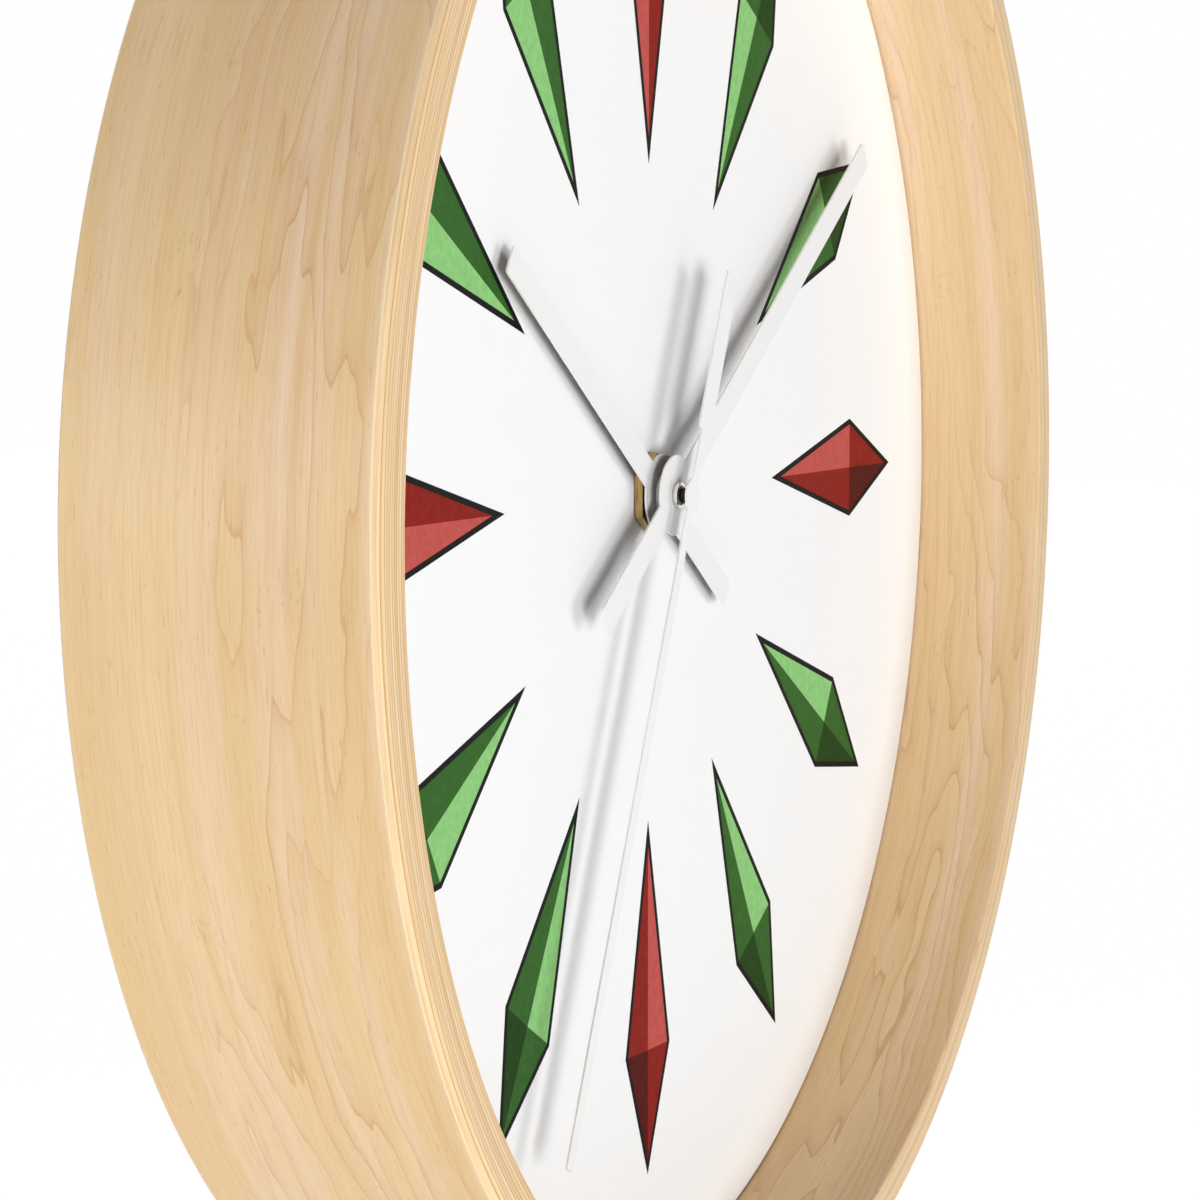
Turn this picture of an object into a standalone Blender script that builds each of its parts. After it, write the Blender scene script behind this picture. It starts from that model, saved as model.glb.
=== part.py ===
"""Round wall clock: a bent maple hoop, a set-back dial, three hands and a quartz movement.

The origin is the point where the wall nail carries the hanger plate, on the wall plane.
+Z is up, +Y goes into the wall and the dial faces -Y. Outlines are drawn in X and Z.
Depths are counted from the hoop's front rim, and bearings are clockwise from twelve.
"""
import math

import bmesh
import bpy

MM = 0.001

# Clearances
SEAT_GAP = 0.2 * MM
SIDE_GAP = 0.3 * MM
RUN_GAP = 0.2 * MM
SHAFT_PLAY = 0.25 * MM

# Hoop, dial and board
FRAME_DIAMETER = 254.0 * MM
FRAME_WALL = 6.6 * MM
FRAME_DEPTH = 44.4 * MM
FRONT_ROUND = 1.5 * MM
BORE_EDGE = 0.4 * MM
REAR_EDGE = 0.4 * MM
DIAL_RECESS = 21.7 * MM
DIAL_THICK = 1.5 * MM
BOARD_THICK = 3.0 * MM
RING_WIDTH = 12.0 * MM
RING_THICK = 8.0 * MM
HOOP_STEPS = 80

# Screws through the support ring into the board
BOARD_SCREWS = 4
BOARD_SCREW_BEARING = 45.0
BOARD_SCREW_RADIUS = 1.5 * MM
BOARD_SCREW_BITE = 2.0 * MM
SCREW_HEAD_RADIUS = 3.0 * MM
SCREW_HEAD_HIGH = 1.6 * MM

# Hanger, placed by how far the nail sits below the hoop's bore
NAIL_DROP = 15.4 * MM
NAIL_SLOT_WIDTH = 5.0 * MM
NAIL_SLOT_RUN = 6.0 * MM
NAIL_HEAD_HOLE = 9.0 * MM
NAIL_POCKET_MARGIN = 1.5 * MM
PLATE_THICK = 1.2 * MM
PLATE_MARGIN = 6.5 * MM
PLATE_CORNER = 3.0 * MM
PLATE_SCREW_SPREAD = 17.0 * MM
PLATE_SETBACK = 1.6 * MM
BLOCK_MARGIN = 8.0 * MM
BLOCK_SKIRT = 3.0 * MM
HANGER_SCREW_RADIUS = 1.3 * MM
HANGER_SCREW_BITE = 4.0 * MM
HANGER_HEAD_RADIUS = 2.6 * MM
HANGER_HEAD_HIGH = 1.1 * MM

# Gear train: tooth counts, distances between axes and bearings of the axes
SECOND_PINION = 6
THIRD_WHEEL = 45
THIRD_PINION = 6
CENTRE_WHEEL = 48
CANNON_PINION = 8
MOTION_WHEEL = 24
MOTION_PINION = 8
HOUR_WHEEL = 32
SECOND_WHEEL = 36
INTERMEDIATE_PINION = 6
INTERMEDIATE_WHEEL = 30
ROTOR_PINION = 6
THIRD_DISTANCE = 10.8 * MM
INTERMEDIATE_DISTANCE = 8.4 * MM
ROTOR_DISTANCE = 7.2 * MM
THIRD_BEARING = 80.0
MOTION_BEARING = 280.0
INTERMEDIATE_BEARING = 0.0
ROTOR_BEARING = 30.0
PRESSURE_ANGLE = math.radians(20.0)
TOOTH_SHARE = 0.42
WHEEL_ADDENDUM = 0.7
WHEEL_DEDENDUM = 1.1
PINION_ADDENDUM = 0.8
PINION_DEDENDUM = 1.05
WHEEL_THICK = 0.8 * MM
LAYER_GAP = 0.7 * MM
PINION_OVERHANG = 0.2 * MM

# Arbors and tubes on the hands' axis
SECOND_ARBOR = 0.5 * MM
MINUTE_TUBE_WALL = 0.85 * MM
HOUR_TUBE_WALL = 0.55 * MM
BUSH_RADIUS = 4.0 * MM
BUSH_FLANGE_RADIUS = 5.5 * MM
BUSH_FLANGE_THICK = 0.7 * MM
ARBOR_RADIUS = 0.6 * MM
MOTION_ARBOR = 1.0 * MM
PIVOT_RADIUS = 0.4 * MM
PIVOT_BITE = 0.7 * MM

# Movement case
CASE_WALL = 1.8 * MM
CASE_FLOOR = 1.4 * MM
CASE_CORNER = 3.0 * MM
CASE_ROOM = 1.0 * MM
COVER_LEDGE = 0.6 * MM
COVER_THICK = 1.4 * MM
KNOB_RADIUS = 6.0 * MM
KNOB_THICK = 2.0 * MM
KNOB_GROOVES = 20
KNOB_GROOVE_DEPTH = 0.4 * MM
GASKET_THICK = 0.6 * MM
GASKET_RADIUS = 9.0 * MM
NUT_ACROSS_FLATS = 11.0 * MM
NUT_THICK = 1.7 * MM

# Motor and circuit
MAGNET_RADIUS = 3.0 * MM
MAGNET_LENGTH = 2.4 * MM
STATOR_GAP = 0.6 * MM
STATOR_RIM = 1.2 * MM
STATOR_THICK = 0.9 * MM
CORE_HIGH = 3.0 * MM
CORE_THICK = 0.8 * MM
COIL_LENGTH = 16.0 * MM
COIL_LEG = 3.5 * MM
BOBBIN_WALL = 0.5 * MM
FLANGE_HIGH = 1.0 * MM
FLANGE_THICK = 0.8 * MM
POST_RADIUS = 1.4 * MM
CIRCUIT_WIDTH = 14.0 * MM
CIRCUIT_HIGH = 17.0 * MM
CIRCUIT_THICK = 1.0 * MM
CHIP_RADIUS = 2.5 * MM
CHIP_HIGH = 0.6 * MM
CRYSTAL_RADIUS = 1.0 * MM
CRYSTAL_LENGTH = 6.0 * MM

# Battery and its contacts
BATTERY_RADIUS = 7.1 * MM
BATTERY_BODY = 49.2 * MM
BATTERY_NUB = 1.3 * MM
NUB_RADIUS = 2.7 * MM
BATTERY_EDGE = 0.6 * MM
CONTACT_THICK = 0.4 * MM
CONTACT_WIDTH = 8.0 * MM
CONTACT_BUMP = 0.5 * MM

# Hands: depth of the front face, bearing at rest and outline
HAND_THICK = 0.3 * MM
HOUR_DEPTH = 19.3 * MM
HOUR_BEARING = 304.1
HOUR_TIP = 62.6 * MM
HOUR_TAIL = 30.1 * MM
HOUR_WIDTH = 4.3 * MM
HOUR_HUB = 6.15 * MM
MINUTE_DEPTH = 17.05 * MM
MINUTE_BEARING = 56.35
MINUTE_TIP = 94.3 * MM
MINUTE_TAIL = 30.4 * MM
MINUTE_WIDTH = 4.5 * MM
MINUTE_HUB = 6.0 * MM
COLLET_RADIUS = 3.4 * MM
HAND_NUT_RADIUS = 1.95 * MM
HAND_NUT_LENGTH = 0.65 * MM
HAND_NUT_WALL = 0.5 * MM
SECOND_DEPTH = 14.4 * MM
SECOND_BEARING = 205.2
SECOND_TIP = 102.2 * MM
SECOND_WIDTH = 2.2 * MM
SECOND_HUB = 2.5 * MM
PADDLE_START = 10.3 * MM
PADDLE_END = 35.9 * MM
PADDLE_WIDTH = 4.43 * MM
PIPE_WALL = 0.4 * MM
HUB_STEPS = 10

# Places that follow from the sizes above, measured from the wall plane along Y
FRAME_RADIUS = FRAME_DIAMETER / 2
BORE_RADIUS = FRAME_RADIUS - FRAME_WALL
NAIL_HEIGHT = BORE_RADIUS - NAIL_DROP
FRONT = -FRAME_DEPTH
DIAL_FRONT = FRONT + DIAL_RECESS
DIAL_BACK = DIAL_FRONT + DIAL_THICK
BOARD_FRONT = DIAL_BACK + SEAT_GAP
BOARD_BACK = BOARD_FRONT + BOARD_THICK
RING_FRONT = BOARD_BACK + SEAT_GAP
RING_BACK = RING_FRONT + RING_THICK
DISC_RADIUS = BORE_RADIUS - SIDE_GAP
RING_INNER = DISC_RADIUS - RING_WIDTH
GASKET_FRONT = BOARD_BACK + SEAT_GAP
GASKET_BACK = GASKET_FRONT + GASKET_THICK
CASE_FRONT = GASKET_BACK + SEAT_GAP
FLOOR = CASE_FRONT + CASE_FLOOR
BUSH_HOLE = BUSH_RADIUS + SHAFT_PLAY
BUSH_FLANGE_BACK = FLOOR + SEAT_GAP + BUSH_FLANGE_THICK
LAYER_PITCH = WHEEL_THICK + LAYER_GAP
FIRST_LAYER = BUSH_FLANGE_BACK + SIDE_GAP
COVER_FRONT = FIRST_LAYER + 6 * LAYER_PITCH
COVER_BACK = COVER_FRONT + COVER_THICK
KNOB_FRONT = COVER_BACK + SIDE_GAP
KNOB_BACK = KNOB_FRONT + KNOB_THICK
BATTERY_DEPTH = FLOOR + SEAT_GAP + BATTERY_RADIUS
CASE_BACK = max(KNOB_BACK, BATTERY_DEPTH + BATTERY_RADIUS - SEAT_GAP)


def module_of(distance, pinion, wheel):
    """Tooth module of a pair of gears on axes at this distance."""
    return 2 * distance / (pinion + wheel)


def wheel_tip(distance, pinion, wheel):
    """Outer radius of the wheel of such a pair."""
    module = module_of(distance, pinion, wheel)
    return module * (wheel / 2 + WHEEL_ADDENDUM)


CENTRE_TIP = wheel_tip(THIRD_DISTANCE, THIRD_PINION, CENTRE_WHEEL)
MOTION_DISTANCE = CENTRE_TIP + SIDE_GAP + MOTION_ARBOR
SECOND_RUN = SECOND_ARBOR + SHAFT_PLAY
MINUTE_TUBE = SECOND_RUN + MINUTE_TUBE_WALL
HOUR_RUN = MINUTE_TUBE + SHAFT_PLAY
HOUR_TUBE = HOUR_RUN + HOUR_TUBE_WALL
BUSH_BORE = HOUR_TUBE + SHAFT_PLAY
ROOM_BOTTOM = -(CENTRE_TIP + CASE_ROOM)
BAY_TOP = ROOM_BOTTOM - CASE_WALL
BATTERY_HEIGHT = BAY_TOP - SIDE_GAP - BATTERY_RADIUS
BAY_BOTTOM = BATTERY_HEIGHT - BATTERY_RADIUS - SIDE_GAP
CASE_BOTTOM = BAY_BOTTOM - CASE_WALL
CONTACTS = 2 * CONTACT_THICK + CONTACT_BUMP + 4 * SEAT_GAP
ROOM_SIDE = (BATTERY_BODY + BATTERY_NUB + CONTACTS) / 2
CASE_SIDE = ROOM_SIDE + CASE_WALL


def polar(radius, bearing):
    """Point at a radius and a bearing clockwise from twelve, as x and z."""
    angle = math.radians(bearing)
    return radius * math.sin(angle), radius * math.cos(angle)


THIRD_AT = polar(THIRD_DISTANCE, THIRD_BEARING)
MOTION_AT = polar(MOTION_DISTANCE, MOTION_BEARING)
INTERMEDIATE_AT = polar(INTERMEDIATE_DISTANCE, INTERMEDIATE_BEARING)
ROTOR_STEP = polar(ROTOR_DISTANCE, ROTOR_BEARING)
ROTOR_AT = (INTERMEDIATE_AT[0] + ROTOR_STEP[0], INTERMEDIATE_AT[1] + ROTOR_STEP[1])
STATOR_HOLE = MAGNET_RADIUS + STATOR_GAP
STATOR_TOP = ROTOR_AT[1] + STATOR_HOLE + STATOR_RIM
BOBBIN_BORE = math.hypot(CORE_HIGH, CORE_THICK) / 2 + RUN_GAP
FLANGE_RADIUS = BOBBIN_BORE + BOBBIN_WALL + FLANGE_HIGH
COIL_HEIGHT = STATOR_TOP + SIDE_GAP + FLANGE_RADIUS
ROOM_TOP = COIL_HEIGHT + FLANGE_RADIUS + SIDE_GAP
CASE_TOP = ROOM_TOP + CASE_WALL


def layer(number):
    """Front face of a wheel's layer, counted from the movement's floor."""
    return FIRST_LAYER + number * LAYER_PITCH


def clear_scene():
    for item in list(bpy.data.objects):
        bpy.data.objects.remove(item, do_unlink=True)


def finish(name, colour, roughness, metallic=0.0):
    material = bpy.data.materials.new(name)
    material.use_nodes = True
    shader = material.node_tree.nodes["Principled BSDF"]
    shader.inputs["Base Color"].default_value = (*colour, 1.0)
    shader.inputs["Roughness"].default_value = roughness
    shader.inputs["Metallic"].default_value = metallic
    return material


def axis_empty(name, at, parent=None):
    """Empty on an axis along Y that passes through x and z."""
    empty = bpy.data.objects.new(name, None)
    empty.location = (at[0], 0.0, at[1])
    empty.parent = parent
    bpy.context.scene.collection.objects.link(empty)
    return empty


def add(name, shape, material, parent):
    """Object of a shape, faces out, smooth where it is round."""
    bmesh.ops.recalc_face_normals(shape, faces=shape.faces)
    mesh = bpy.data.meshes.new(name)
    shape.to_mesh(mesh)
    shape.free()
    mesh.materials.append(material)
    mesh.shade_smooth()
    mesh.set_sharp_from_angle(angle=math.radians(30.0))
    piece = bpy.data.objects.new(name, mesh)
    piece.parent = parent
    bpy.context.scene.collection.objects.link(piece)
    return piece


def combine(piece, operation, shape):
    """Boolean of a piece with a shape kept as a hidden wire guide."""
    guide = add(f"{piece.name}_{operation.lower()}_{len(piece.modifiers)}", shape,
                piece.data.materials[0], piece.parent)
    guide.hide_render = True
    guide.display_type = "WIRE"
    modifier = piece.modifiers.new(guide.name, "BOOLEAN")
    modifier.operation = operation
    modifier.object = guide


def cut(piece, shape):
    combine(piece, "DIFFERENCE", shape)


def fuse(piece, shape):
    combine(piece, "UNION", shape)


def circle(radius, at=(0.0, 0.0), steps=24):
    turn = 2 * math.pi / steps
    return [(at[0] + radius * math.cos(turn * i), at[1] + radius * math.sin(turn * i))
            for i in range(steps)]


def arc(centre, radius, start, end, steps):
    """Points of an arc, both ends included, angles in degrees."""
    points = []
    for i in range(steps + 1):
        angle = math.radians(start + (end - start) * i / steps)
        points.append((centre[0] + radius * math.cos(angle), centre[1] + radius * math.sin(angle)))
    return points


def rounded_box(left, right, bottom, top, corner, steps=4):
    points = []
    corners = ((right, top, -1, -1, 0), (left, top, 1, -1, 90),
               (left, bottom, 1, 1, 180), (right, bottom, -1, 1, 270))
    for x, z, inward_x, inward_z, start in corners:
        centre = (x + inward_x * corner, z + inward_z * corner)
        points += arc(centre, corner, start, start + 90, steps)
    return points


def box(left, right, bottom, top):
    return [(right, top), (left, top), (left, bottom), (right, bottom)]


def prism(outline, front, back):
    """Outline in x and z, extruded along Y from front to back."""
    shape = bmesh.new()
    face = shape.faces.new([shape.verts.new((x, front, z)) for x, z in outline])
    grown = bmesh.ops.extrude_face_region(shape, geom=[face])["geom"]
    moved = [item for item in grown if isinstance(item, bmesh.types.BMVert)]
    bmesh.ops.translate(shape, verts=moved, vec=(0.0, back - front, 0.0))
    return shape


def turned(profile, steps=24):
    """Profile of radius and depth, spun about the Y axis. A radius of 0 closes an end."""
    shape = bmesh.new()
    points = [shape.verts.new((radius, depth, 0.0)) for radius, depth in profile]
    pairs = list(zip(points, points[1:]))
    if profile[0][0] > 0.0:
        pairs.append((points[-1], points[0]))
    edges = [shape.edges.new(pair) for pair in pairs]
    bmesh.ops.spin(shape, geom=points + edges, cent=(0, 0, 0), axis=(0, 1, 0),
                   angle=2 * math.pi, steps=steps, use_merge=True)
    bmesh.ops.remove_doubles(shape, verts=shape.verts, dist=1e-7)
    return shape


def ring(inner, outer, front, back, steps=24):
    return turned([(outer, front), (outer, back), (inner, back), (inner, front)], steps)


def rod(radius, front, back, steps=16):
    return turned([(0.0, front), (radius, front), (radius, back), (0.0, back)], steps)


def moved_to(shape, at):
    """Shape moved sideways to x and z."""
    bmesh.ops.translate(shape, verts=shape.verts, vec=(at[0], 0.0, at[1]))
    return shape


def laid_along_x(shape, at, depth):
    """Turned shape laid with its axis along X at a height and depth."""
    for vert in shape.verts:
        vert.co = (at[0] + vert.co.y, depth + vert.co.x, at[1] + vert.co.z)
    shape.normal_update()
    return shape


def gear(teeth, module, phase, addendum, dedendum):
    """Outline of a gear with straight-flanked teeth cut from the involute."""
    pitch = module * teeth / 2
    base = pitch * math.cos(PRESSURE_ANGLE)
    tip = pitch + addendum * module
    root = pitch - dedendum * module

    def half_tooth(radius):
        slope = math.acos(min(1.0, base / radius))
        roll = math.tan(PRESSURE_ANGLE) - PRESSURE_ANGLE - math.tan(slope) + slope
        return TOOTH_SHARE * math.pi / teeth + roll

    foot = half_tooth(max(base, root))
    crown = half_tooth(tip)
    points = []
    for i in range(teeth):
        middle = phase + 2 * math.pi * i / teeth
        for radius, offset in ((root, -foot), (tip, -crown), (tip, crown), (root, foot)):
            points.append((radius * math.cos(middle + offset), radius * math.sin(middle + offset)))
    return points


def wheel_outline(distance, pinion, wheel, phase=0.0):
    return gear(wheel, module_of(distance, pinion, wheel), phase, WHEEL_ADDENDUM, WHEEL_DEDENDUM)


def pinion_outline(distance, pinion, wheel, bearing):
    """Pinion whose gap faces a tooth of its wheel, which stands at this bearing with phase 0."""
    towards = math.radians(90.0 - bearing)
    wheel_lead = (0.0 - towards - math.pi) * wheel / (2 * math.pi)
    phase = towards + 2 * math.pi / pinion * (0.5 - wheel_lead)
    return gear(pinion, module_of(distance, pinion, wheel), phase, PINION_ADDENDUM, PINION_DEDENDUM)


def wheel_at(outline, number):
    return prism(outline, layer(number), layer(number) + WHEEL_THICK)


def pinion_at(outline, number):
    return prism(outline, layer(number) - PINION_OVERHANG,
                 layer(number) + WHEEL_THICK + PINION_OVERHANG)


def pivoted_arbor(radius, front, back):
    """Arbor between the movement's floor and cover with a pivot at each end."""
    return turned([(0.0, front - PIVOT_BITE), (PIVOT_RADIUS, front - PIVOT_BITE),
                   (PIVOT_RADIUS, front), (radius, front), (radius, back),
                   (PIVOT_RADIUS, back), (PIVOT_RADIUS, back + PIVOT_BITE),
                   (0.0, back + PIVOT_BITE)], 12)


def pan_screw(head_radius, head_high, radius, seat, tip):
    """Round-headed screw seen from the wall: its head is behind the seat."""
    crown = head_radius - head_high / 2
    return turned([(0.0, seat + head_high), (crown, seat + head_high),
                   (head_radius, seat + head_high / 2), (head_radius, seat),
                   (radius, seat), (radius, tip + radius), (0.0, tip)], 14)


def hand_outline(bearing, tip, width, tail_steps, hub):
    """Hand with a round hub: a pointer, and a tail of (start, end, width) lengths."""
    right = [(width / 2, tip)]
    upper = math.degrees(math.acos(width / 2 / hub))
    lower = math.degrees(math.acos(tail_steps[0][2] / 2 / hub))
    right += arc((0.0, 0.0), hub, upper, -lower, HUB_STEPS)
    for number, (start, end, broad) in enumerate(tail_steps):
        if number > 0:
            right.append((broad / 2, -start))
        right.append((broad / 2, -end))
    left = [(-x, z) for x, z in reversed(right)]
    angle = math.radians(bearing)
    return [(x * math.cos(angle) + z * math.sin(angle), z * math.cos(angle) - x * math.sin(angle))
            for x, z in right + left]


clear_scene()
clock = axis_empty("clock_axis", (0.0, -NAIL_HEIGHT))
third_axis = axis_empty("third_axis", THIRD_AT, clock)
motion_axis = axis_empty("motion_axis", MOTION_AT, clock)
intermediate_axis = axis_empty("intermediate_axis", INTERMEDIATE_AT, clock)
rotor_axis = axis_empty("rotor_axis", ROTOR_AT, clock)

maple = finish("maple", (0.80, 0.60, 0.38), 0.45)
poplar = finish("poplar", (0.72, 0.58, 0.40), 0.6)
fibreboard = finish("fibreboard", (0.46, 0.33, 0.21), 0.8)
dial_white = finish("dial_white", (0.90, 0.90, 0.89), 0.4)
hand_white = finish("hand_white", (0.92, 0.92, 0.92), 0.45)
brass = finish("brass", (0.62, 0.48, 0.24), 0.4, 1.0)
chrome = finish("chrome", (0.85, 0.85, 0.86), 0.12, 1.0)
steel = finish("steel", (0.60, 0.60, 0.62), 0.35, 1.0)
black_plastic = finish("black_plastic", (0.03, 0.03, 0.035), 0.5)
gear_plastic = finish("gear_plastic", (0.85, 0.84, 0.78), 0.45)
rubber = finish("rubber", (0.04, 0.04, 0.04), 0.85)
copper = finish("copper", (0.72, 0.36, 0.18), 0.35, 1.0)
magnet_grey = finish("magnet_grey", (0.20, 0.20, 0.21), 0.5, 0.6)
circuit_green = finish("circuit_green", (0.05, 0.22, 0.10), 0.4)
battery_sleeve = finish("battery_sleeve", (0.20, 0.34, 0.46), 0.3)

# Frame hoop: bent maple ply with a rounded outer arris in front and its other edges broken
hoop_profile = (
    arc((FRAME_RADIUS - REAR_EDGE, -REAR_EDGE), REAR_EDGE, 90, 0, 1)
    + arc((FRAME_RADIUS - FRONT_ROUND, FRONT + FRONT_ROUND), FRONT_ROUND, 0, -90, 3)
    + arc((BORE_RADIUS + BORE_EDGE, FRONT + BORE_EDGE), BORE_EDGE, 270, 180, 1)
    + arc((BORE_RADIUS + REAR_EDGE, -REAR_EDGE), REAR_EDGE, 180, 90, 1)
)
add("frame_hoop", turned(hoop_profile, HOOP_STEPS), maple, clock)

# Dial and the board that it is glued to
add("dial_face", ring(BUSH_HOLE, DISC_RADIUS, DIAL_FRONT, DIAL_BACK, HOOP_STEPS), dial_white, clock)
board = add("backing_board", ring(BUSH_HOLE, DISC_RADIUS, BOARD_FRONT, BOARD_BACK, HOOP_STEPS),
            fibreboard, clock)

# Support ring glued in the hoop, with screws through it into the board
support = add("support_ring", ring(RING_INNER, DISC_RADIUS, RING_FRONT, RING_BACK, HOOP_STEPS),
              poplar, clock)
board_screw_tip = BOARD_FRONT + BOARD_THICK - BOARD_SCREW_BITE
for number in range(BOARD_SCREWS):
    bearing = BOARD_SCREW_BEARING + 360.0 * number / BOARD_SCREWS
    screw_at = polar((RING_INNER + DISC_RADIUS) / 2, bearing)
    hole = circle(BOARD_SCREW_RADIUS + SHAFT_PLAY, screw_at, 14)
    cut(support, prism(hole, RING_FRONT - SEAT_GAP, RING_BACK + SEAT_GAP))
    cut(board, prism(hole, board_screw_tip - SEAT_GAP, BOARD_BACK + SEAT_GAP))
    screw = pan_screw(SCREW_HEAD_RADIUS, SCREW_HEAD_HIGH, BOARD_SCREW_RADIUS,
                      RING_BACK + SEAT_GAP, board_screw_tip)
    add(f"board_screw_{number + 1}", moved_to(screw, screw_at), steel, clock)

# Hanger block: a wooden batten glued behind the support ring under the hoop's top
slot_radius = NAIL_SLOT_WIDTH / 2
slot_top = NAIL_HEIGHT - slot_radius
head_height = slot_top - NAIL_SLOT_RUN
plate_bottom = head_height - NAIL_HEAD_HOLE / 2 - PLATE_MARGIN
plate_top = NAIL_HEIGHT + PLATE_MARGIN
plate_side = PLATE_SCREW_SPREAD + PLATE_MARGIN
plate_back = -PLATE_SETBACK
plate_front = plate_back - PLATE_THICK
block_front = RING_BACK + SEAT_GAP
block_back = plate_front - SEAT_GAP
block_side = plate_side + BLOCK_MARGIN
block_bottom = plate_bottom - BLOCK_SKIRT
half_span = math.degrees(math.asin(block_side / DISC_RADIUS))
block_outline = arc((0.0, 0.0), DISC_RADIUS, 90 - half_span, 90 + half_span, 16)
block_outline += [(-block_side, block_bottom), (block_side, block_bottom)]
block = add("hanger_block", prism(block_outline, block_front, block_back), maple, clock)
pocket_side = NAIL_HEAD_HOLE / 2 + NAIL_POCKET_MARGIN
pocket = (arc((0.0, slot_top), pocket_side, 0, 180, 10)
          + arc((0.0, head_height), pocket_side, 180, 360, 10))
cut(block, prism(pocket, block_front - SEAT_GAP, block_back + SEAT_GAP))

# Hanger plate: sheet steel with a keyhole, set just inside the wall plane
plate_outline = rounded_box(-plate_side, plate_side, plate_bottom, plate_top, PLATE_CORNER)
plate = add("hanger_plate", prism(plate_outline, plate_front, plate_back), steel, clock)
neck = math.degrees(math.acos(slot_radius / (NAIL_HEAD_HOLE / 2)))
keyhole = (arc((0.0, slot_top), slot_radius, 0, 180, 8)
           + arc((0.0, head_height), NAIL_HEAD_HOLE / 2, 180 - neck, 360 + neck, 14))
cut(plate, prism(keyhole, plate_front - SEAT_GAP, plate_back + SEAT_GAP))
hanger_screw_tip = block_back - HANGER_SCREW_BITE
for number, side in enumerate((-1, 1)):
    screw_at = (side * PLATE_SCREW_SPREAD, (plate_bottom + plate_top) / 2)
    hole = circle(HANGER_SCREW_RADIUS + SHAFT_PLAY, screw_at, 14)
    cut(plate, prism(hole, plate_front - SEAT_GAP, plate_back + SEAT_GAP))
    cut(block, prism(hole, hanger_screw_tip - SEAT_GAP, block_back + SEAT_GAP))
    screw = pan_screw(HANGER_HEAD_RADIUS, HANGER_HEAD_HIGH, HANGER_SCREW_RADIUS,
                      plate_back + SEAT_GAP, hanger_screw_tip)
    add(f"hanger_screw_{number + 1}", moved_to(screw, screw_at), steel, clock)

# Motor places: the coil lies across the top of the gear room, over the stator's two legs
stator_front = layer(2) - PINION_OVERHANG
stator_back = stator_front + STATOR_THICK
stator_low = ROTOR_AT[1] - STATOR_HOLE - STATOR_RIM / 2
core_front = stator_back + SEAT_GAP
core_back = core_front + CORE_THICK
core_depth = (core_front + core_back) / 2
winding_inner = BOBBIN_BORE + BOBBIN_WALL + SEAT_GAP
coil_side = COIL_LENGTH / 2
leg_side = coil_side + SIDE_GAP + COIL_LEG
leg_top = COIL_HEIGHT + CORE_HIGH / 2
circuit_left = -ROOM_SIDE + SIDE_GAP
circuit_right = circuit_left + CIRCUIT_WIDTH
circuit_top = ROOM_TOP - SIDE_GAP
circuit_bottom = circuit_top - CIRCUIT_HIGH
circuit_back = COVER_FRONT - CHIP_HIGH - 2 * SEAT_GAP
circuit_front = circuit_back - CIRCUIT_THICK
stator_posts = [(ROTOR_AT[0] + side * (leg_side - COIL_LEG / 2), COIL_HEIGHT) for side in (-1, 1)]
circuit_posts = [(circuit_left + POST_RADIUS, height)
                 for height in (circuit_bottom + POST_RADIUS, circuit_top - POST_RADIUS)]

# Movement case: moulded box with the gear room above and the open battery bay below
case_outline = rounded_box(-CASE_SIDE, CASE_SIDE, CASE_BOTTOM, CASE_TOP, CASE_CORNER)
case = add("movement_case", prism(case_outline, CASE_FRONT, CASE_BACK), black_plastic, clock)
room = box(-ROOM_SIDE, ROOM_SIDE, ROOM_BOTTOM, ROOM_TOP)
cut(case, prism(room, FLOOR, CASE_BACK + SEAT_GAP))
ledge = box(-ROOM_SIDE - COVER_LEDGE, ROOM_SIDE + COVER_LEDGE,
            ROOM_BOTTOM - COVER_LEDGE, ROOM_TOP + COVER_LEDGE)
cut(case, prism(ledge, COVER_FRONT - SEAT_GAP, CASE_BACK + SEAT_GAP))
bay = box(-ROOM_SIDE, ROOM_SIDE, BAY_BOTTOM, BAY_TOP)
cut(case, prism(bay, FLOOR, CASE_BACK + SEAT_GAP))
cut(case, prism(circle(BUSH_HOLE), CASE_FRONT - SEAT_GAP, FLOOR + SEAT_GAP))
pivot_hole = PIVOT_RADIUS + RUN_GAP
floor_pivots = [THIRD_AT, MOTION_AT, ROTOR_AT]
for pivot_at in floor_pivots:
    cut(case, prism(circle(pivot_hole, pivot_at, 12), FLOOR - PIVOT_BITE - SEAT_GAP, FLOOR + SEAT_GAP))
post_foot = FLOOR - CASE_FLOOR / 2
for post_at in stator_posts:
    fuse(case, prism(circle(POST_RADIUS, post_at, 12), post_foot, stator_front - SEAT_GAP))
for post_at in circuit_posts:
    fuse(case, prism(circle(POST_RADIUS, post_at, 12), post_foot, circuit_front - SEAT_GAP))

# Movement cover: lid on the ledge, with the stud that carries the intermediate wheel
lid = box(-ROOM_SIDE - COVER_LEDGE + SIDE_GAP, ROOM_SIDE + COVER_LEDGE - SIDE_GAP,
          ROOM_BOTTOM - COVER_LEDGE + SIDE_GAP, ROOM_TOP + COVER_LEDGE - SIDE_GAP)
cover = add("movement_cover", prism(lid, COVER_FRONT, COVER_BACK), black_plastic, clock)
cut(cover, prism(circle(MOTION_ARBOR + SHAFT_PLAY, MOTION_AT, 16),
                 COVER_FRONT - SEAT_GAP, COVER_BACK + SEAT_GAP))
for pivot_at in ((0.0, 0.0), THIRD_AT, ROTOR_AT):
    cut(cover, prism(circle(pivot_hole, pivot_at, 12),
                     COVER_FRONT - SEAT_GAP, COVER_FRONT + PIVOT_BITE + SEAT_GAP))
stud_front = layer(4) - PINION_OVERHANG
stud = prism(circle(PIVOT_RADIUS, INTERMEDIATE_AT, 12), stud_front, COVER_FRONT + COVER_THICK / 2)
fuse(cover, stud)

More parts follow.
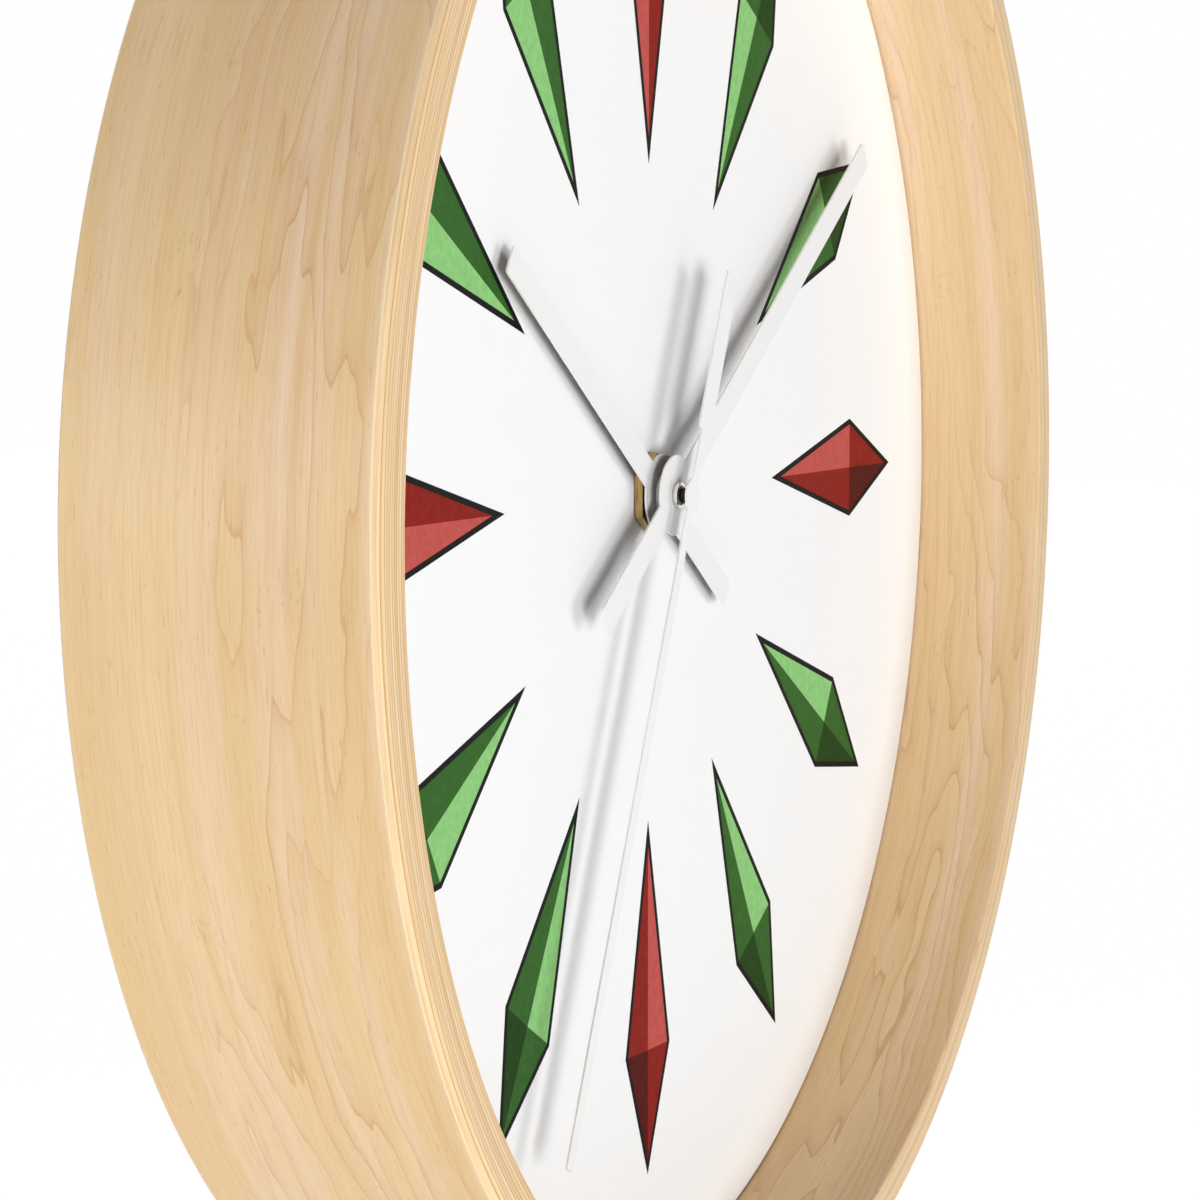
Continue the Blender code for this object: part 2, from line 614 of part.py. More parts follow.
# Bush, gasket and nut that clamp the movement to the dial
nut_front = DIAL_FRONT - SEAT_GAP - NUT_THICK
bush_profile = [(BUSH_BORE, nut_front), (BUSH_RADIUS, nut_front), (BUSH_RADIUS, FLOOR + SEAT_GAP),
                (BUSH_FLANGE_RADIUS, FLOOR + SEAT_GAP), (BUSH_FLANGE_RADIUS, BUSH_FLANGE_BACK),
                (BUSH_BORE, BUSH_FLANGE_BACK)]
add("threaded_bush", turned(bush_profile), brass, clock)
add("rubber_gasket", ring(BUSH_HOLE, GASKET_RADIUS, GASKET_FRONT, GASKET_BACK), rubber, clock)
hexagon = arc((0.0, 0.0), NUT_ACROSS_FLATS / math.sqrt(3.0), 30, 330, 5)
nut = add("dial_nut", prism(hexagon, nut_front, DIAL_FRONT - SEAT_GAP), brass, clock)
cut(nut, prism(circle(BUSH_HOLE), nut_front - SEAT_GAP, DIAL_FRONT))

# Motor: stator plate with two legs, coil core across them, bobbin and winding on the core
stator_outline = [
    (leg_side, leg_top), (coil_side + SIDE_GAP, leg_top),
    (coil_side + SIDE_GAP, STATOR_TOP), (-coil_side - SIDE_GAP, STATOR_TOP),
    (-coil_side - SIDE_GAP, leg_top), (-leg_side, leg_top),
    (-leg_side, stator_low), (leg_side, stator_low),
]
stator_outline = [(ROTOR_AT[0] + x, z) for x, z in stator_outline]
stator = add("stator", prism(stator_outline, stator_front, stator_back), steel, clock)
cut(stator, prism(circle(STATOR_HOLE, ROTOR_AT), stator_front - SEAT_GAP, stator_back + SEAT_GAP))
core_outline = box(ROTOR_AT[0] - leg_side, ROTOR_AT[0] + leg_side,
                   COIL_HEIGHT - CORE_HIGH / 2, COIL_HEIGHT + CORE_HIGH / 2)
add("coil_core", prism(core_outline, core_front, core_back), steel, clock)
coil_at = (ROTOR_AT[0], COIL_HEIGHT)
spool = [(FLANGE_RADIUS, -coil_side), (FLANGE_RADIUS, -coil_side + FLANGE_THICK),
         (winding_inner - SEAT_GAP, -coil_side + FLANGE_THICK),
         (winding_inner - SEAT_GAP, coil_side - FLANGE_THICK),
         (FLANGE_RADIUS, coil_side - FLANGE_THICK), (FLANGE_RADIUS, coil_side),
         (BOBBIN_BORE, coil_side), (BOBBIN_BORE, -coil_side)]
add("coil_bobbin", laid_along_x(turned(spool, 16), coil_at, core_depth), gear_plastic, clock)
wound = coil_side - FLANGE_THICK - SEAT_GAP
add("coil_winding", laid_along_x(ring(winding_inner, FLANGE_RADIUS - SEAT_GAP, -wound, wound, 16),
                                 coil_at, core_depth), copper, clock)

# Circuit board with its chip behind and the quartz crystal in front
circuit = box(circuit_left, circuit_right, circuit_bottom, circuit_top)
add("circuit_board", prism(circuit, circuit_front, circuit_back), circuit_green, clock)
circuit_middle = ((circuit_left + circuit_right) / 2, (circuit_bottom + circuit_top) / 2)
chip = rod(CHIP_RADIUS, circuit_back + SEAT_GAP, circuit_back + SEAT_GAP + CHIP_HIGH)
add("chip", moved_to(chip, circuit_middle), black_plastic, clock)
crystal = rod(CRYSTAL_RADIUS, -CRYSTAL_LENGTH / 2, CRYSTAL_LENGTH / 2, 12)
add("quartz_crystal", laid_along_x(crystal, circuit_middle,
                                   circuit_front - SEAT_GAP - CRYSTAL_RADIUS), steel, clock)

# Battery and its contacts: the cell lies across the bay, plus end to the right
contact_inner = ROOM_SIDE - SEAT_GAP - CONTACT_THICK
battery_plus = contact_inner - SEAT_GAP
battery_minus = battery_plus - BATTERY_NUB - BATTERY_BODY
shoulder = battery_plus - BATTERY_NUB
cell = turned([(0.0, battery_minus), (BATTERY_RADIUS - BATTERY_EDGE, battery_minus),
               (BATTERY_RADIUS, battery_minus + BATTERY_EDGE),
               (BATTERY_RADIUS, shoulder - BATTERY_EDGE), (BATTERY_RADIUS - BATTERY_EDGE, shoulder),
               (NUB_RADIUS, shoulder), (NUB_RADIUS, battery_plus), (0.0, battery_plus)], 32)
add("battery", laid_along_x(cell, (0.0, BATTERY_HEIGHT), BATTERY_DEPTH), battery_sleeve, clock)
contact_low = BATTERY_HEIGHT - CONTACT_WIDTH / 2
contact_high = BATTERY_HEIGHT + CONTACT_WIDTH / 2
contact_front = FLOOR + SEAT_GAP
contact_back = BATTERY_DEPTH + CONTACT_WIDTH / 2
add("positive_contact", prism(box(contact_inner, ROOM_SIDE - SEAT_GAP, contact_low, contact_high),
                              contact_front, contact_back), steel, clock)
spring_inner = battery_minus - SEAT_GAP - CONTACT_BUMP
spring = add("negative_contact",
             prism(box(-ROOM_SIDE + SEAT_GAP, spring_inner, contact_low, contact_high),
                   contact_front, contact_back), steel, clock)
bump = rod(NUB_RADIUS, spring_inner - CONTACT_THICK / 2, spring_inner + CONTACT_BUMP)
fuse(spring, laid_along_x(bump, (0.0, BATTERY_HEIGHT), BATTERY_DEPTH))

# Hour wheel and tube, and the hour hand on its end
hour_front = FRONT + HOUR_DEPTH
hour_wheel = add("hour_wheel", ring(HOUR_RUN, HOUR_TUBE, hour_front, layer(0) + WHEEL_THICK),
                 gear_plastic, clock)
hour_gear = wheel_outline(MOTION_DISTANCE, MOTION_PINION, HOUR_WHEEL)
fuse(hour_wheel, wheel_at(hour_gear, 0))
cut(hour_wheel, prism(circle(HOUR_RUN), layer(0) - LAYER_GAP, layer(0) + LAYER_PITCH))
hour_hand_outline = hand_outline(HOUR_BEARING, HOUR_TIP, HOUR_WIDTH,
                                 [(0.0, HOUR_TAIL, HOUR_WIDTH)], HOUR_HUB)
hour_hand = add("hour_hand", prism(hour_hand_outline, hour_front, hour_front + HAND_THICK),
                hand_white, clock)
cut(hour_hand, prism(circle(HOUR_TUBE + SHAFT_PLAY), hour_front - SEAT_GAP,
                     hour_front + HAND_THICK + SEAT_GAP))

# Minute wheel with its cannon pinion and tube, the minute hand, its collet and its nut
minute_front = FRONT + MINUTE_DEPTH
hand_nut_back = minute_front - SEAT_GAP
hand_nut_front = hand_nut_back - HAND_NUT_LENGTH
hand_nut_bore = HAND_NUT_RADIUS - HAND_NUT_WALL
tube_end_radius = hand_nut_bore - RUN_GAP
collet_front = minute_front + HAND_THICK + SEAT_GAP / 2
collet_back = hour_front - SEAT_GAP
pipe_back = hand_nut_front + SEAT_GAP / 2
tube_front = pipe_back + SEAT_GAP
tube_back = layer(2) + WHEEL_THICK + PINION_OVERHANG
tube_profile = [(SECOND_RUN, tube_front), (tube_end_radius, tube_front),
                (tube_end_radius, collet_front), (MINUTE_TUBE, collet_front),
                (MINUTE_TUBE, tube_back), (SECOND_RUN, tube_back)]
minute_wheel = add("minute_wheel", turned(tube_profile), gear_plastic, clock)
cannon = pinion_outline(MOTION_DISTANCE, CANNON_PINION, MOTION_WHEEL, MOTION_BEARING)
fuse(minute_wheel, pinion_at(cannon, 1))
fuse(minute_wheel, wheel_at(wheel_outline(THIRD_DISTANCE, THIRD_PINION, CENTRE_WHEEL), 2))
cut(minute_wheel, prism(circle(SECOND_RUN), layer(1) - LAYER_GAP, layer(3)))
minute_hand_outline = hand_outline(MINUTE_BEARING, MINUTE_TIP, MINUTE_WIDTH,
                                   [(0.0, MINUTE_TAIL, MINUTE_WIDTH)], MINUTE_HUB)
minute_hand = add("minute_hand", prism(minute_hand_outline, minute_front, minute_front + HAND_THICK),
                  hand_white, clock)
cut(minute_hand, prism(circle(hand_nut_bore), minute_front - SEAT_GAP,
                       minute_front + HAND_THICK + SEAT_GAP))
add("minute_collet", ring(MINUTE_TUBE + SEAT_GAP, COLLET_RADIUS, collet_front, collet_back),
    hand_white, clock)
add("hand_nut", ring(hand_nut_bore, HAND_NUT_RADIUS, hand_nut_front, hand_nut_back), chrome, clock)

# Second wheel, its pinion and long arbor, and the second hand on its pipe
second_front = FRONT + SECOND_DEPTH
second_back = second_front + HAND_THICK
arbor_front = second_back + SEAT_GAP / 2
arbor_profile = [(0.0, arbor_front), (SECOND_ARBOR, arbor_front), (SECOND_ARBOR, COVER_FRONT - SEAT_GAP),
                 (PIVOT_RADIUS, COVER_FRONT - SEAT_GAP), (PIVOT_RADIUS, COVER_FRONT + PIVOT_BITE),
                 (0.0, COVER_FRONT + PIVOT_BITE)]
second_wheel = add("second_wheel", turned(arbor_profile, 12), gear_plastic, clock)
second_pinion = pinion_outline(THIRD_DISTANCE, SECOND_PINION, THIRD_WHEEL, THIRD_BEARING)
fuse(second_wheel, pinion_at(second_pinion, 3))
second_gear = wheel_outline(INTERMEDIATE_DISTANCE, INTERMEDIATE_PINION, SECOND_WHEEL)
fuse(second_wheel, wheel_at(second_gear, 4))
second_tail = [(0.0, PADDLE_START, SECOND_WIDTH), (PADDLE_START, PADDLE_END, PADDLE_WIDTH)]
second_outline = hand_outline(SECOND_BEARING, SECOND_TIP, SECOND_WIDTH, second_tail, SECOND_HUB)
add("second_hand", prism(second_outline, second_front, second_back), hand_white, clock)
pipe_bore = SECOND_ARBOR + RUN_GAP
add("second_pipe", ring(pipe_bore, pipe_bore + PIPE_WALL, arbor_front, pipe_back, 16), chrome, clock)

# Third wheel and pinion between the second wheel and the minute wheel
third_wheel = add("third_wheel", pivoted_arbor(ARBOR_RADIUS, FLOOR + SEAT_GAP, COVER_FRONT - SEAT_GAP),
                  gear_plastic, third_axis)
third_pinion = pinion_outline(THIRD_DISTANCE, THIRD_PINION, CENTRE_WHEEL, THIRD_BEARING + 180.0)
fuse(third_wheel, pinion_at(third_pinion, 2))
fuse(third_wheel, wheel_at(wheel_outline(THIRD_DISTANCE, SECOND_PINION, THIRD_WHEEL), 3))

# Motion wheel and pinion, whose arbor comes out through the cover to the setting knob
knob_socket = KNOB_FRONT + KNOB_THICK / 2
motion_profile = [(0.0, FLOOR - PIVOT_BITE), (PIVOT_RADIUS, FLOOR - PIVOT_BITE),
                  (PIVOT_RADIUS, FLOOR + SEAT_GAP), (MOTION_ARBOR, FLOOR + SEAT_GAP),
                  (MOTION_ARBOR, knob_socket), (0.0, knob_socket)]
motion_wheel = add("motion_wheel", turned(motion_profile, 16), gear_plastic, motion_axis)
motion_pinion = pinion_outline(MOTION_DISTANCE, MOTION_PINION, HOUR_WHEEL, MOTION_BEARING + 180.0)
fuse(motion_wheel, pinion_at(motion_pinion, 0))
fuse(motion_wheel, wheel_at(wheel_outline(MOTION_DISTANCE, CANNON_PINION, MOTION_WHEEL), 1))
knob_outline = []
for number in range(KNOB_GROOVES):
    bearing = 360.0 * number / KNOB_GROOVES
    quarter = 90.0 / KNOB_GROOVES
    knob_outline.append(polar(KNOB_RADIUS, bearing - quarter))
    knob_outline.append(polar(KNOB_RADIUS, bearing + quarter))
    knob_outline.append(polar(KNOB_RADIUS - KNOB_GROOVE_DEPTH, bearing + 2 * quarter))
knob = add("setting_knob", prism(knob_outline, KNOB_FRONT, KNOB_BACK), black_plastic, motion_axis)
cut(knob, prism(circle(MOTION_ARBOR + RUN_GAP, steps=16), KNOB_FRONT - SEAT_GAP, knob_socket + SEAT_GAP))

# Intermediate wheel and pinion on the cover's stud
intermediate_pinion = pinion_outline(INTERMEDIATE_DISTANCE, INTERMEDIATE_PINION, SECOND_WHEEL,
                                     INTERMEDIATE_BEARING + 180.0)
intermediate = add("intermediate_wheel",
                   wheel_at(wheel_outline(ROTOR_DISTANCE, ROTOR_PINION, INTERMEDIATE_WHEEL), 5),
                   gear_plastic, intermediate_axis)
fuse(intermediate, prism(intermediate_pinion, layer(4) - PINION_OVERHANG, layer(5) + WHEEL_THICK / 2))
cut(intermediate, prism(circle(PIVOT_RADIUS + RUN_GAP, steps=12), layer(4) - LAYER_GAP, COVER_FRONT))

# Rotor: pinion and arbor, with the magnet ring in the stator's hole
rotor = add("rotor_pinion", pivoted_arbor(ARBOR_RADIUS, FLOOR + SEAT_GAP, COVER_FRONT - SEAT_GAP),
            gear_plastic, rotor_axis)
fuse(rotor, pinion_at(pinion_outline(ROTOR_DISTANCE, ROTOR_PINION, INTERMEDIATE_WHEEL,
                                     ROTOR_BEARING + 180.0), 5))
magnet_front = (stator_front + stator_back - MAGNET_LENGTH) / 2
add("rotor_magnet", ring(ARBOR_RADIUS + RUN_GAP, MAGNET_RADIUS, magnet_front,
                         magnet_front + MAGNET_LENGTH), magnet_grey, rotor_axis)
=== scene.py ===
"""Round wall clock: the looks of its maple hoop, printed dial, white hands and quartz movement."""
import math

import bmesh
import bpy
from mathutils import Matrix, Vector


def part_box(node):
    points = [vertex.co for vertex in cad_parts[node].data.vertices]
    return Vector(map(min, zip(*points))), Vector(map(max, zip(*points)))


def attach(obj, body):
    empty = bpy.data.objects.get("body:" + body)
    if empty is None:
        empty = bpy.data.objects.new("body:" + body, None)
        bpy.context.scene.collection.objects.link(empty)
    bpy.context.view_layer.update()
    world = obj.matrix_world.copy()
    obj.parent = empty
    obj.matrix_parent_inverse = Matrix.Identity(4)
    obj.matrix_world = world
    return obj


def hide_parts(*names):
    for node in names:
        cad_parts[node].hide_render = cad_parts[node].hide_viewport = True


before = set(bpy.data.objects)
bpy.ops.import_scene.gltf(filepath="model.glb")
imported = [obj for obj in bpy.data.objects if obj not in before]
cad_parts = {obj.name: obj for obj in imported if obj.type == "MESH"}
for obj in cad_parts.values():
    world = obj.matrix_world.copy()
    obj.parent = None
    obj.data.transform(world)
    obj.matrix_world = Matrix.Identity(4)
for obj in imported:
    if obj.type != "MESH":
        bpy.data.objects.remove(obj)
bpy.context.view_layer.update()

# Frame hoop
# A strip of thin maple veneers, bent and glued up in a round form, so the grain runs round it
# and the plies show along its front edge. The outer arris is sanded round, and a pale line is
# painted along it as a painted highlight. All of it is under a satin lacquer.
MM = 0.001
WELD = 0.001 * MM
HOOP_WALL = 6.6 * MM
FRONT_ROUND = 1.5 * MM
PLAIN_EDGE = 0.4 * MM
ROUND_STEPS = 6
EDGE_STEPS = 3
HOOP_STEPS = 288
PLIES = 11
FACE_VENEER_AND_HIGHLIGHT = 0.065 * MM
HIGHLIGHT_FROM = 0.012 * MM
HOOP_PORES = 0.02 * MM
HEART = 30.0 * MM
HEART_SHARE = 0.22
RINGS_A_METRE = 190.0
RING_SWAY = 17.0
WALLS_APART = 10 * HOOP_WALL
hoop_low, hoop_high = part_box("frame_hoop")
HOOP_RADIUS = hoop_high.x
BORE_RADIUS = HOOP_RADIUS - HOOP_WALL
PLY = HOOP_WALL / PLIES
DIAL_AXIS = Vector((0.0, 0.0, (hoop_low.z + hoop_high.z) / 2))


def open_piece(name, add, **settings):
    """Add a primitive by itself, name it and open it for editing, its place in its mesh."""
    if bpy.context.mode != "OBJECT":
        bpy.ops.object.mode_set(mode="OBJECT")
    bpy.ops.object.select_all(action="DESELECT")
    add(**settings)
    piece = bpy.context.object
    piece.name = name
    bpy.ops.object.transform_apply(location=True, rotation=True, scale=True)
    bpy.ops.object.mode_set(mode="EDIT")
    return piece


def open_section(name, axis, inner, outer, front, back):
    """Open the flat section of a turned piece, beside its axis: radius along X, depth along Y."""
    middle = Vector((axis.x + (inner + outer) / 2, (front + back) / 2, axis.z))
    piece = open_piece(name, bpy.ops.mesh.primitive_plane_add, size=1.0, location=middle)
    bpy.ops.transform.resize(value=(outer - inner, back - front, 1.0), center_override=middle)
    return piece


def pick(piece, kind, wanted):
    """Leave only those points, edges or faces of the open mesh selected that suit."""
    bpy.ops.mesh.select_mode(type=kind)
    bpy.ops.mesh.select_all(action="DESELECT")
    shape = bmesh.from_edit_mesh(piece.data)
    parts = {"VERT": shape.verts, "EDGE": shape.edges, "FACE": shape.faces}[kind]
    for part in parts:
        part.select_set(bool(wanted(part)))
    shape.select_flush_mode()
    bmesh.update_edit_mesh(piece.data)


def round_corners(piece, radius, wanted, steps=ROUND_STEPS):
    """Round those corners of an open section that suit."""
    pick(piece, "VERT", lambda point: wanted(point.co))
    bpy.ops.mesh.bevel(offset=radius, segments=steps, affect="VERTICES")


def spin_section(axis, steps):
    """Spin an open section once round an axis along Y."""
    bpy.ops.mesh.select_all(action="SELECT")
    bpy.ops.mesh.delete(type="ONLY_FACE")
    bpy.ops.mesh.select_all(action="SELECT")
    bpy.ops.mesh.spin(steps=steps, angle=2 * math.pi, center=axis, axis=(0.0, 1.0, 0.0))


def apply_modifier(piece, kind, **settings):
    modifier = piece.modifiers.new(kind.lower(), kind)
    for name, value in settings.items():
        setattr(modifier, name, value)
    bpy.ops.object.modifier_apply(modifier=modifier.name)


def close_piece(piece, *materials, smooth_under=35.0):
    """Weld an open mesh, turn its faces out, shade it and give it its materials."""
    bpy.ops.mesh.select_mode(type="VERT")
    bpy.ops.mesh.select_all(action="SELECT")
    bpy.ops.mesh.remove_doubles(threshold=WELD)
    bpy.ops.mesh.normals_make_consistent(inside=False)
    bpy.ops.object.mode_set(mode="OBJECT")
    bpy.ops.object.shade_smooth_by_angle(angle=math.radians(smooth_under))
    apply_modifier(piece, "WEIGHTED_NORMAL", keep_sharp=True)
    for material in materials:
        piece.data.materials.append(material)


def tint(code):
    """Linear colour of a paint chip written as six hex digits."""
    channels = [int(code[start:start + 2], 16) / 255 for start in (0, 2, 4)]
    linear = [c / 12.92 if c <= 0.04045 else ((c + 0.055) / 1.055) ** 2.4 for c in channels]
    return (*linear, 1.0)


def feed(material, node, inputs):
    """Give each named input of a node a value, or wire another node's output to it."""
    for name, value in inputs.items():
        if isinstance(value, bpy.types.NodeSocket):
            material.node_tree.links.new(value, node.inputs[name])
        else:
            node.inputs[name].default_value = value


def add_node(material, kind, inputs, **settings):
    node = material.node_tree.nodes.new(kind)
    for name, value in settings.items():
        setattr(node, name, value)
    feed(material, node, inputs)
    return node


def feed_shader(material, inputs):
    feed(material, material.node_tree.nodes["Principled BSDF"], inputs)


def new_finish(name, values):
    """Start a material whose shader has these values."""
    material = bpy.data.materials.new(name)
    material.use_nodes = True
    feed_shader(material, values)
    return material


def own_place(material):
    """Where a point of the surface lies, in metres from the piece's origin."""
    return add_node(material, "ShaderNodeTexCoord", {}).outputs["Object"]


def axes(material, where):
    """Coordinates of a place, by their letters."""
    return add_node(material, "ShaderNodeSeparateXYZ", {"Vector": where}).outputs


def noise(material, where, scale, detail=2.0, roughness=0.5):
    """Noise from 0 to 1 in this many cells a metre, or so many in each direction."""
    scale = scale if isinstance(scale, tuple) else (scale, scale, scale)
    stretched = add_node(material, "ShaderNodeMapping", {"Vector": where, "Scale": scale})
    texture = add_node(material, "ShaderNodeTexNoise",
                       {"Vector": stretched.outputs["Vector"], "Scale": 1.0,
                        "Detail": detail, "Roughness": roughness})
    return texture.outputs["Fac"]


def fade(material, value, low, high, at_low=0.0, at_high=1.0):
    """Value brought from one range to another and held at its ends."""
    spread = add_node(material, "ShaderNodeMapRange",
                      {"Value": value, "From Min": low, "From Max": high,
                       "To Min": at_low, "To Max": at_high})
    return spread.outputs["Result"]


def reckon(material, operation, first, second=0.0):
    return add_node(material, "ShaderNodeMath", {0: first, 1: second}, operation=operation).outputs[0]


def mix(material, share, first, second):
    """Colour between two colours."""
    blend = add_node(material, "ShaderNodeMix", {0: share, 6: first, 7: second}, data_type="RGBA")
    return blend.outputs[2]


def relief(material, height, depth):
    """Normal of a surface whose height, from 0 to 1, stands for this depth."""
    return add_node(material, "ShaderNodeBump", {"Height": height, "Distance": depth}).outputs["Normal"]


def wood_figure(material, where, deep, pale, blush, ring_dark, fleck_dark):
    """Colour and pore depth of flat-sawn wood with its grain along X, its rings fullest at the heart."""
    bands = fade(material, noise(material, where, (3.0, 70.0, 70.0)), 0.32, 0.68)
    colour = mix(material, bands, deep, pale)
    flush = fade(material, noise(material, where, (4.0, 190.0, 120.0)), 0.46, 0.70, 0.0, 0.85)
    colour = mix(material, flush, colour, blush)
    at = axes(material, where)
    across = reckon(material, "MULTIPLY", reckon(material, "ADD", at["Y"], at["Z"]), RINGS_A_METRE)
    waver = noise(material, where, (6.5, 50.0, 50.0), 4.0, 0.44)
    sway = reckon(material, "MULTIPLY", waver, RING_SWAY)
    ring = reckon(material, "FRACT", reckon(material, "ADD", across, sway))
    latewood = reckon(material, "MULTIPLY", reckon(material, "POWER", ring, 4.0), 0.5)
    line = reckon(material, "MULTIPLY", fade(material, ring, 0.90, 0.97, 0.0, 0.8),
                  fade(material, ring, 0.985, 1.0, 1.0, 0.0))
    heart = reckon(material, "PINGPONG", at["Y"], HEART)
    heart = reckon(material, "MULTIPLY", heart, HEART_SHARE / HEART)
    figured = reckon(material, "ADD", noise(material, where, (7.0, 48.0, 48.0)), heart)
    figured = fade(material, figured, 0.53, 0.72, 0.05, 0.76)
    growth = reckon(material, "MULTIPLY", reckon(material, "MAXIMUM", latewood, line), figured)
    colour = mix(material, growth, colour, ring_dark)
    streak = noise(material, where, (8.0, 700.0, 700.0), 3.0, 0.6)
    colour = mix(material, fade(material, streak, 0.50, 0.78, 0.0, 0.20), colour, ring_dark)
    fibre = noise(material, where, (100.0, 3900.0, 3900.0), 3.0, 0.6)
    colour = mix(material, fade(material, fibre, 0.50, 0.74, 0.0, 0.34), colour, ring_dark)
    pore = fade(material, noise(material, where, (330.0, 4200.0, 4200.0), 1.0), 0.70, 0.76)
    patch = fade(material, noise(material, where, (70.0, 170.0, 170.0), 1.0), 0.64, 0.72)
    mottle = fade(material, noise(material, where, (900.0, 1900.0, 1900.0), 1.0), 0.56, 0.68, 0.0, 0.5)
    speck = reckon(material, "MAXIMUM", pore, reckon(material, "MULTIPLY", patch, mottle))
    colour = mix(material, reckon(material, "MULTIPLY", speck, 0.36), colour, fleck_dark)
    return colour, reckon(material, "MAXIMUM", pore, fibre)


def hoop_finish():
    """Maple veneer on both walls of the hoop, its plies wherever a wall is cut through, and a painted
    highlight along the outer round.
    """
    material = new_finish("hoop_maple", {"Specular IOR Level": 0.25, "Coat Weight": 0.18,
                                         "Coat Roughness": 0.2})
    along = add_node(material, "ShaderNodeUVMap", {}, uv_map="grain").outputs["UV"]
    veneer, pores = wood_figure(material, along, tint("E2C08E"), tint("EFD2A5"), tint("EFD3B5"),
                                tint("C8935F"), tint("A4764A"))
    centred = add_node(material, "ShaderNodeMapping", {"Vector": own_place(material),
                                                       "Location": -DIAL_AXIS, "Scale": (1.0, 0.0, 1.0)})
    radius = add_node(material, "ShaderNodeVectorMath", {0: centred.outputs["Vector"]},
                      operation="LENGTH").outputs["Value"]
    count = reckon(material, "DIVIDE", reckon(material, "SUBTRACT", radius, BORE_RADIUS), PLY)
    tone = add_node(material, "ShaderNodeTexWhiteNoise", {"W": reckon(material, "FLOOR", count)},
                    noise_dimensions="1D").outputs["Value"]
    rolled = add_node(material, "ShaderNodeCombineXYZ", {"X": axes(material, along)["X"], "Y": radius})
    strand = noise(material, rolled.outputs["Vector"], (30.0, 3600.0, 1.0), 3.0, 0.6)
    ply = mix(material, tone, tint("E2BF8E"), tint("F1D7AF"))
    ply = mix(material, fade(material, strand, 0.42, 0.75, 0.0, 0.6), ply, tint("C2965F"))
    edge = reckon(material, "PINGPONG", count, 0.5)
    glue = fade(material, edge, 0.04, 0.14, 0.75, 0.0)
    ply = mix(material, glue, ply, tint("B2834D"))
    depth = reckon(material, "SUBTRACT", HOOP_RADIUS, radius)
    below_face = fade(material, depth, 0.9 * FACE_VENEER_AND_HIGHLIGHT, 1.1 * FACE_VENEER_AND_HIGHLIGHT)
    inside = reckon(material, "MULTIPLY", fade(material, count, 0.95, 1.05), below_face)
    # Painted highlight: a pale cream band just under the face of the outer round stands in for the
    # arris's highlight.
    painted_highlight = reckon(material, "SUBTRACT", fade(material, depth, HIGHLIGHT_FROM, 2 * HIGHLIGHT_FROM), below_face)
    colour = mix(material, painted_highlight, mix(material, inside, veneer, ply), tint("F3DAB0"))
    feed_shader(material, {"Base Color": colour,
                           "Roughness": fade(material, pores, 0.2, 0.9, 0.40, 0.56),
                           "Normal": relief(material, pores, -HOOP_PORES)})
    return material


def wrap_grain(piece):
    """UV map in metres, along the bend from twelve and across it, apart for the two walls."""
    mesh = piece.data
    layer = mesh.uv_layers.new(name="grain")
    for face in mesh.polygons:
        middle = math.atan2(face.center.x, face.center.z - DIAL_AXIS.z)
        reach = math.hypot(face.center.x, face.center.z - DIAL_AXIS.z)
        shift = 0.0 if reach > BORE_RADIUS + HOOP_WALL / 2 else WALLS_APART
        for loop in face.loop_indices:
            point = mesh.vertices[mesh.loops[loop].vertex_index].co
            turn = math.atan2(point.x, point.z - DIAL_AXIS.z) - middle
            turn = (turn + math.pi) % (2 * math.pi) - math.pi
            layer.data[loop].uv = ((middle + turn) * HOOP_RADIUS, point.y + shift)


hoop = open_section("bent_hoop", DIAL_AXIS, BORE_RADIUS, HOOP_RADIUS, hoop_low.y, hoop_high.y)
round_corners(hoop, FRONT_ROUND, lambda at: at.y < hoop_low.y + WELD and at.x > HOOP_RADIUS - WELD)
round_corners(hoop, PLAIN_EDGE, lambda at: at.y > hoop_high.y - WELD or at.x < BORE_RADIUS + WELD,
              EDGE_STEPS)
spin_section(DIAL_AXIS, HOOP_STEPS)
close_piece(hoop, hoop_finish())
wrap_grain(hoop)
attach(hoop, "frame")
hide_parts("frame_hoop")

# Dial
# A disc of white satin plastic sheet, cut with a hole for the movement's bush and glued to the
# board behind it. Its cut edge is broken a little.
DISC_STEPS = 192
DIAL_HOLE = 4.25 * MM
DIAL_EDGE = 0.2 * MM
SHEET_SKIN = 0.004 * MM
dial_low, dial_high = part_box("dial_face")


def clouded_finish(name, values, first, second, cloud, skin=None, rough=None, depth=None):
    """Finish with a clouded colour, whose roughness and relief follow a finer skin or else the cloud."""
    material = new_finish(name, values)
    place = own_place(material)
    clouds = noise(material, place, *cloud)
    grain = noise(material, place, *skin) if skin else clouds
    feed_shader(material, {"Base Color": mix(material, clouds, tint(first), tint(second))})
    if rough:
        feed_shader(material, {"Roughness": fade(material, grain, 0.3, 0.7, *rough)})
    if depth:
        feed_shader(material, {"Normal": relief(material, grain, depth)})
    return material


dial_white = clouded_finish("satin_white_sheet", {"Specular IOR Level": 0.12}, "F9FAFB", "FCFCFD",
                            cloud=(14.0,), skin=(900.0, 3.0), rough=(0.40, 0.50), depth=SHEET_SKIN)
dial = open_section("dial_sheet", DIAL_AXIS, DIAL_HOLE, dial_high.x, dial_low.y, dial_high.y)
round_corners(dial, DIAL_EDGE, lambda at: at.y < dial_low.y + WELD, EDGE_STEPS)
spin_section(DIAL_AXIS, DISC_STEPS)
close_piece(dial, dial_white)
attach(dial, "frame")
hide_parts("dial_face")

# Dial print
# Twelve kite-shaped hour marks, printed on the sheet in three greens, or in three reds at the
# quarters, like cut studs with black outlines. The ink lies on the sheet as a thin film.
MARKS = 12
MARK_INNER = 49.0 * MM
MARK_SHOULDER = 84.0 * MM
MARK_OUTER = 103.0 * MM
MARK_HALF_WIDTH = 8.2 * MM
OUTLINE = 0.9 * MM
TONES = 3
INK_FILM = 0.03 * MM
THIN_INK = 1.25
SHEET_THROUGH = 0.004


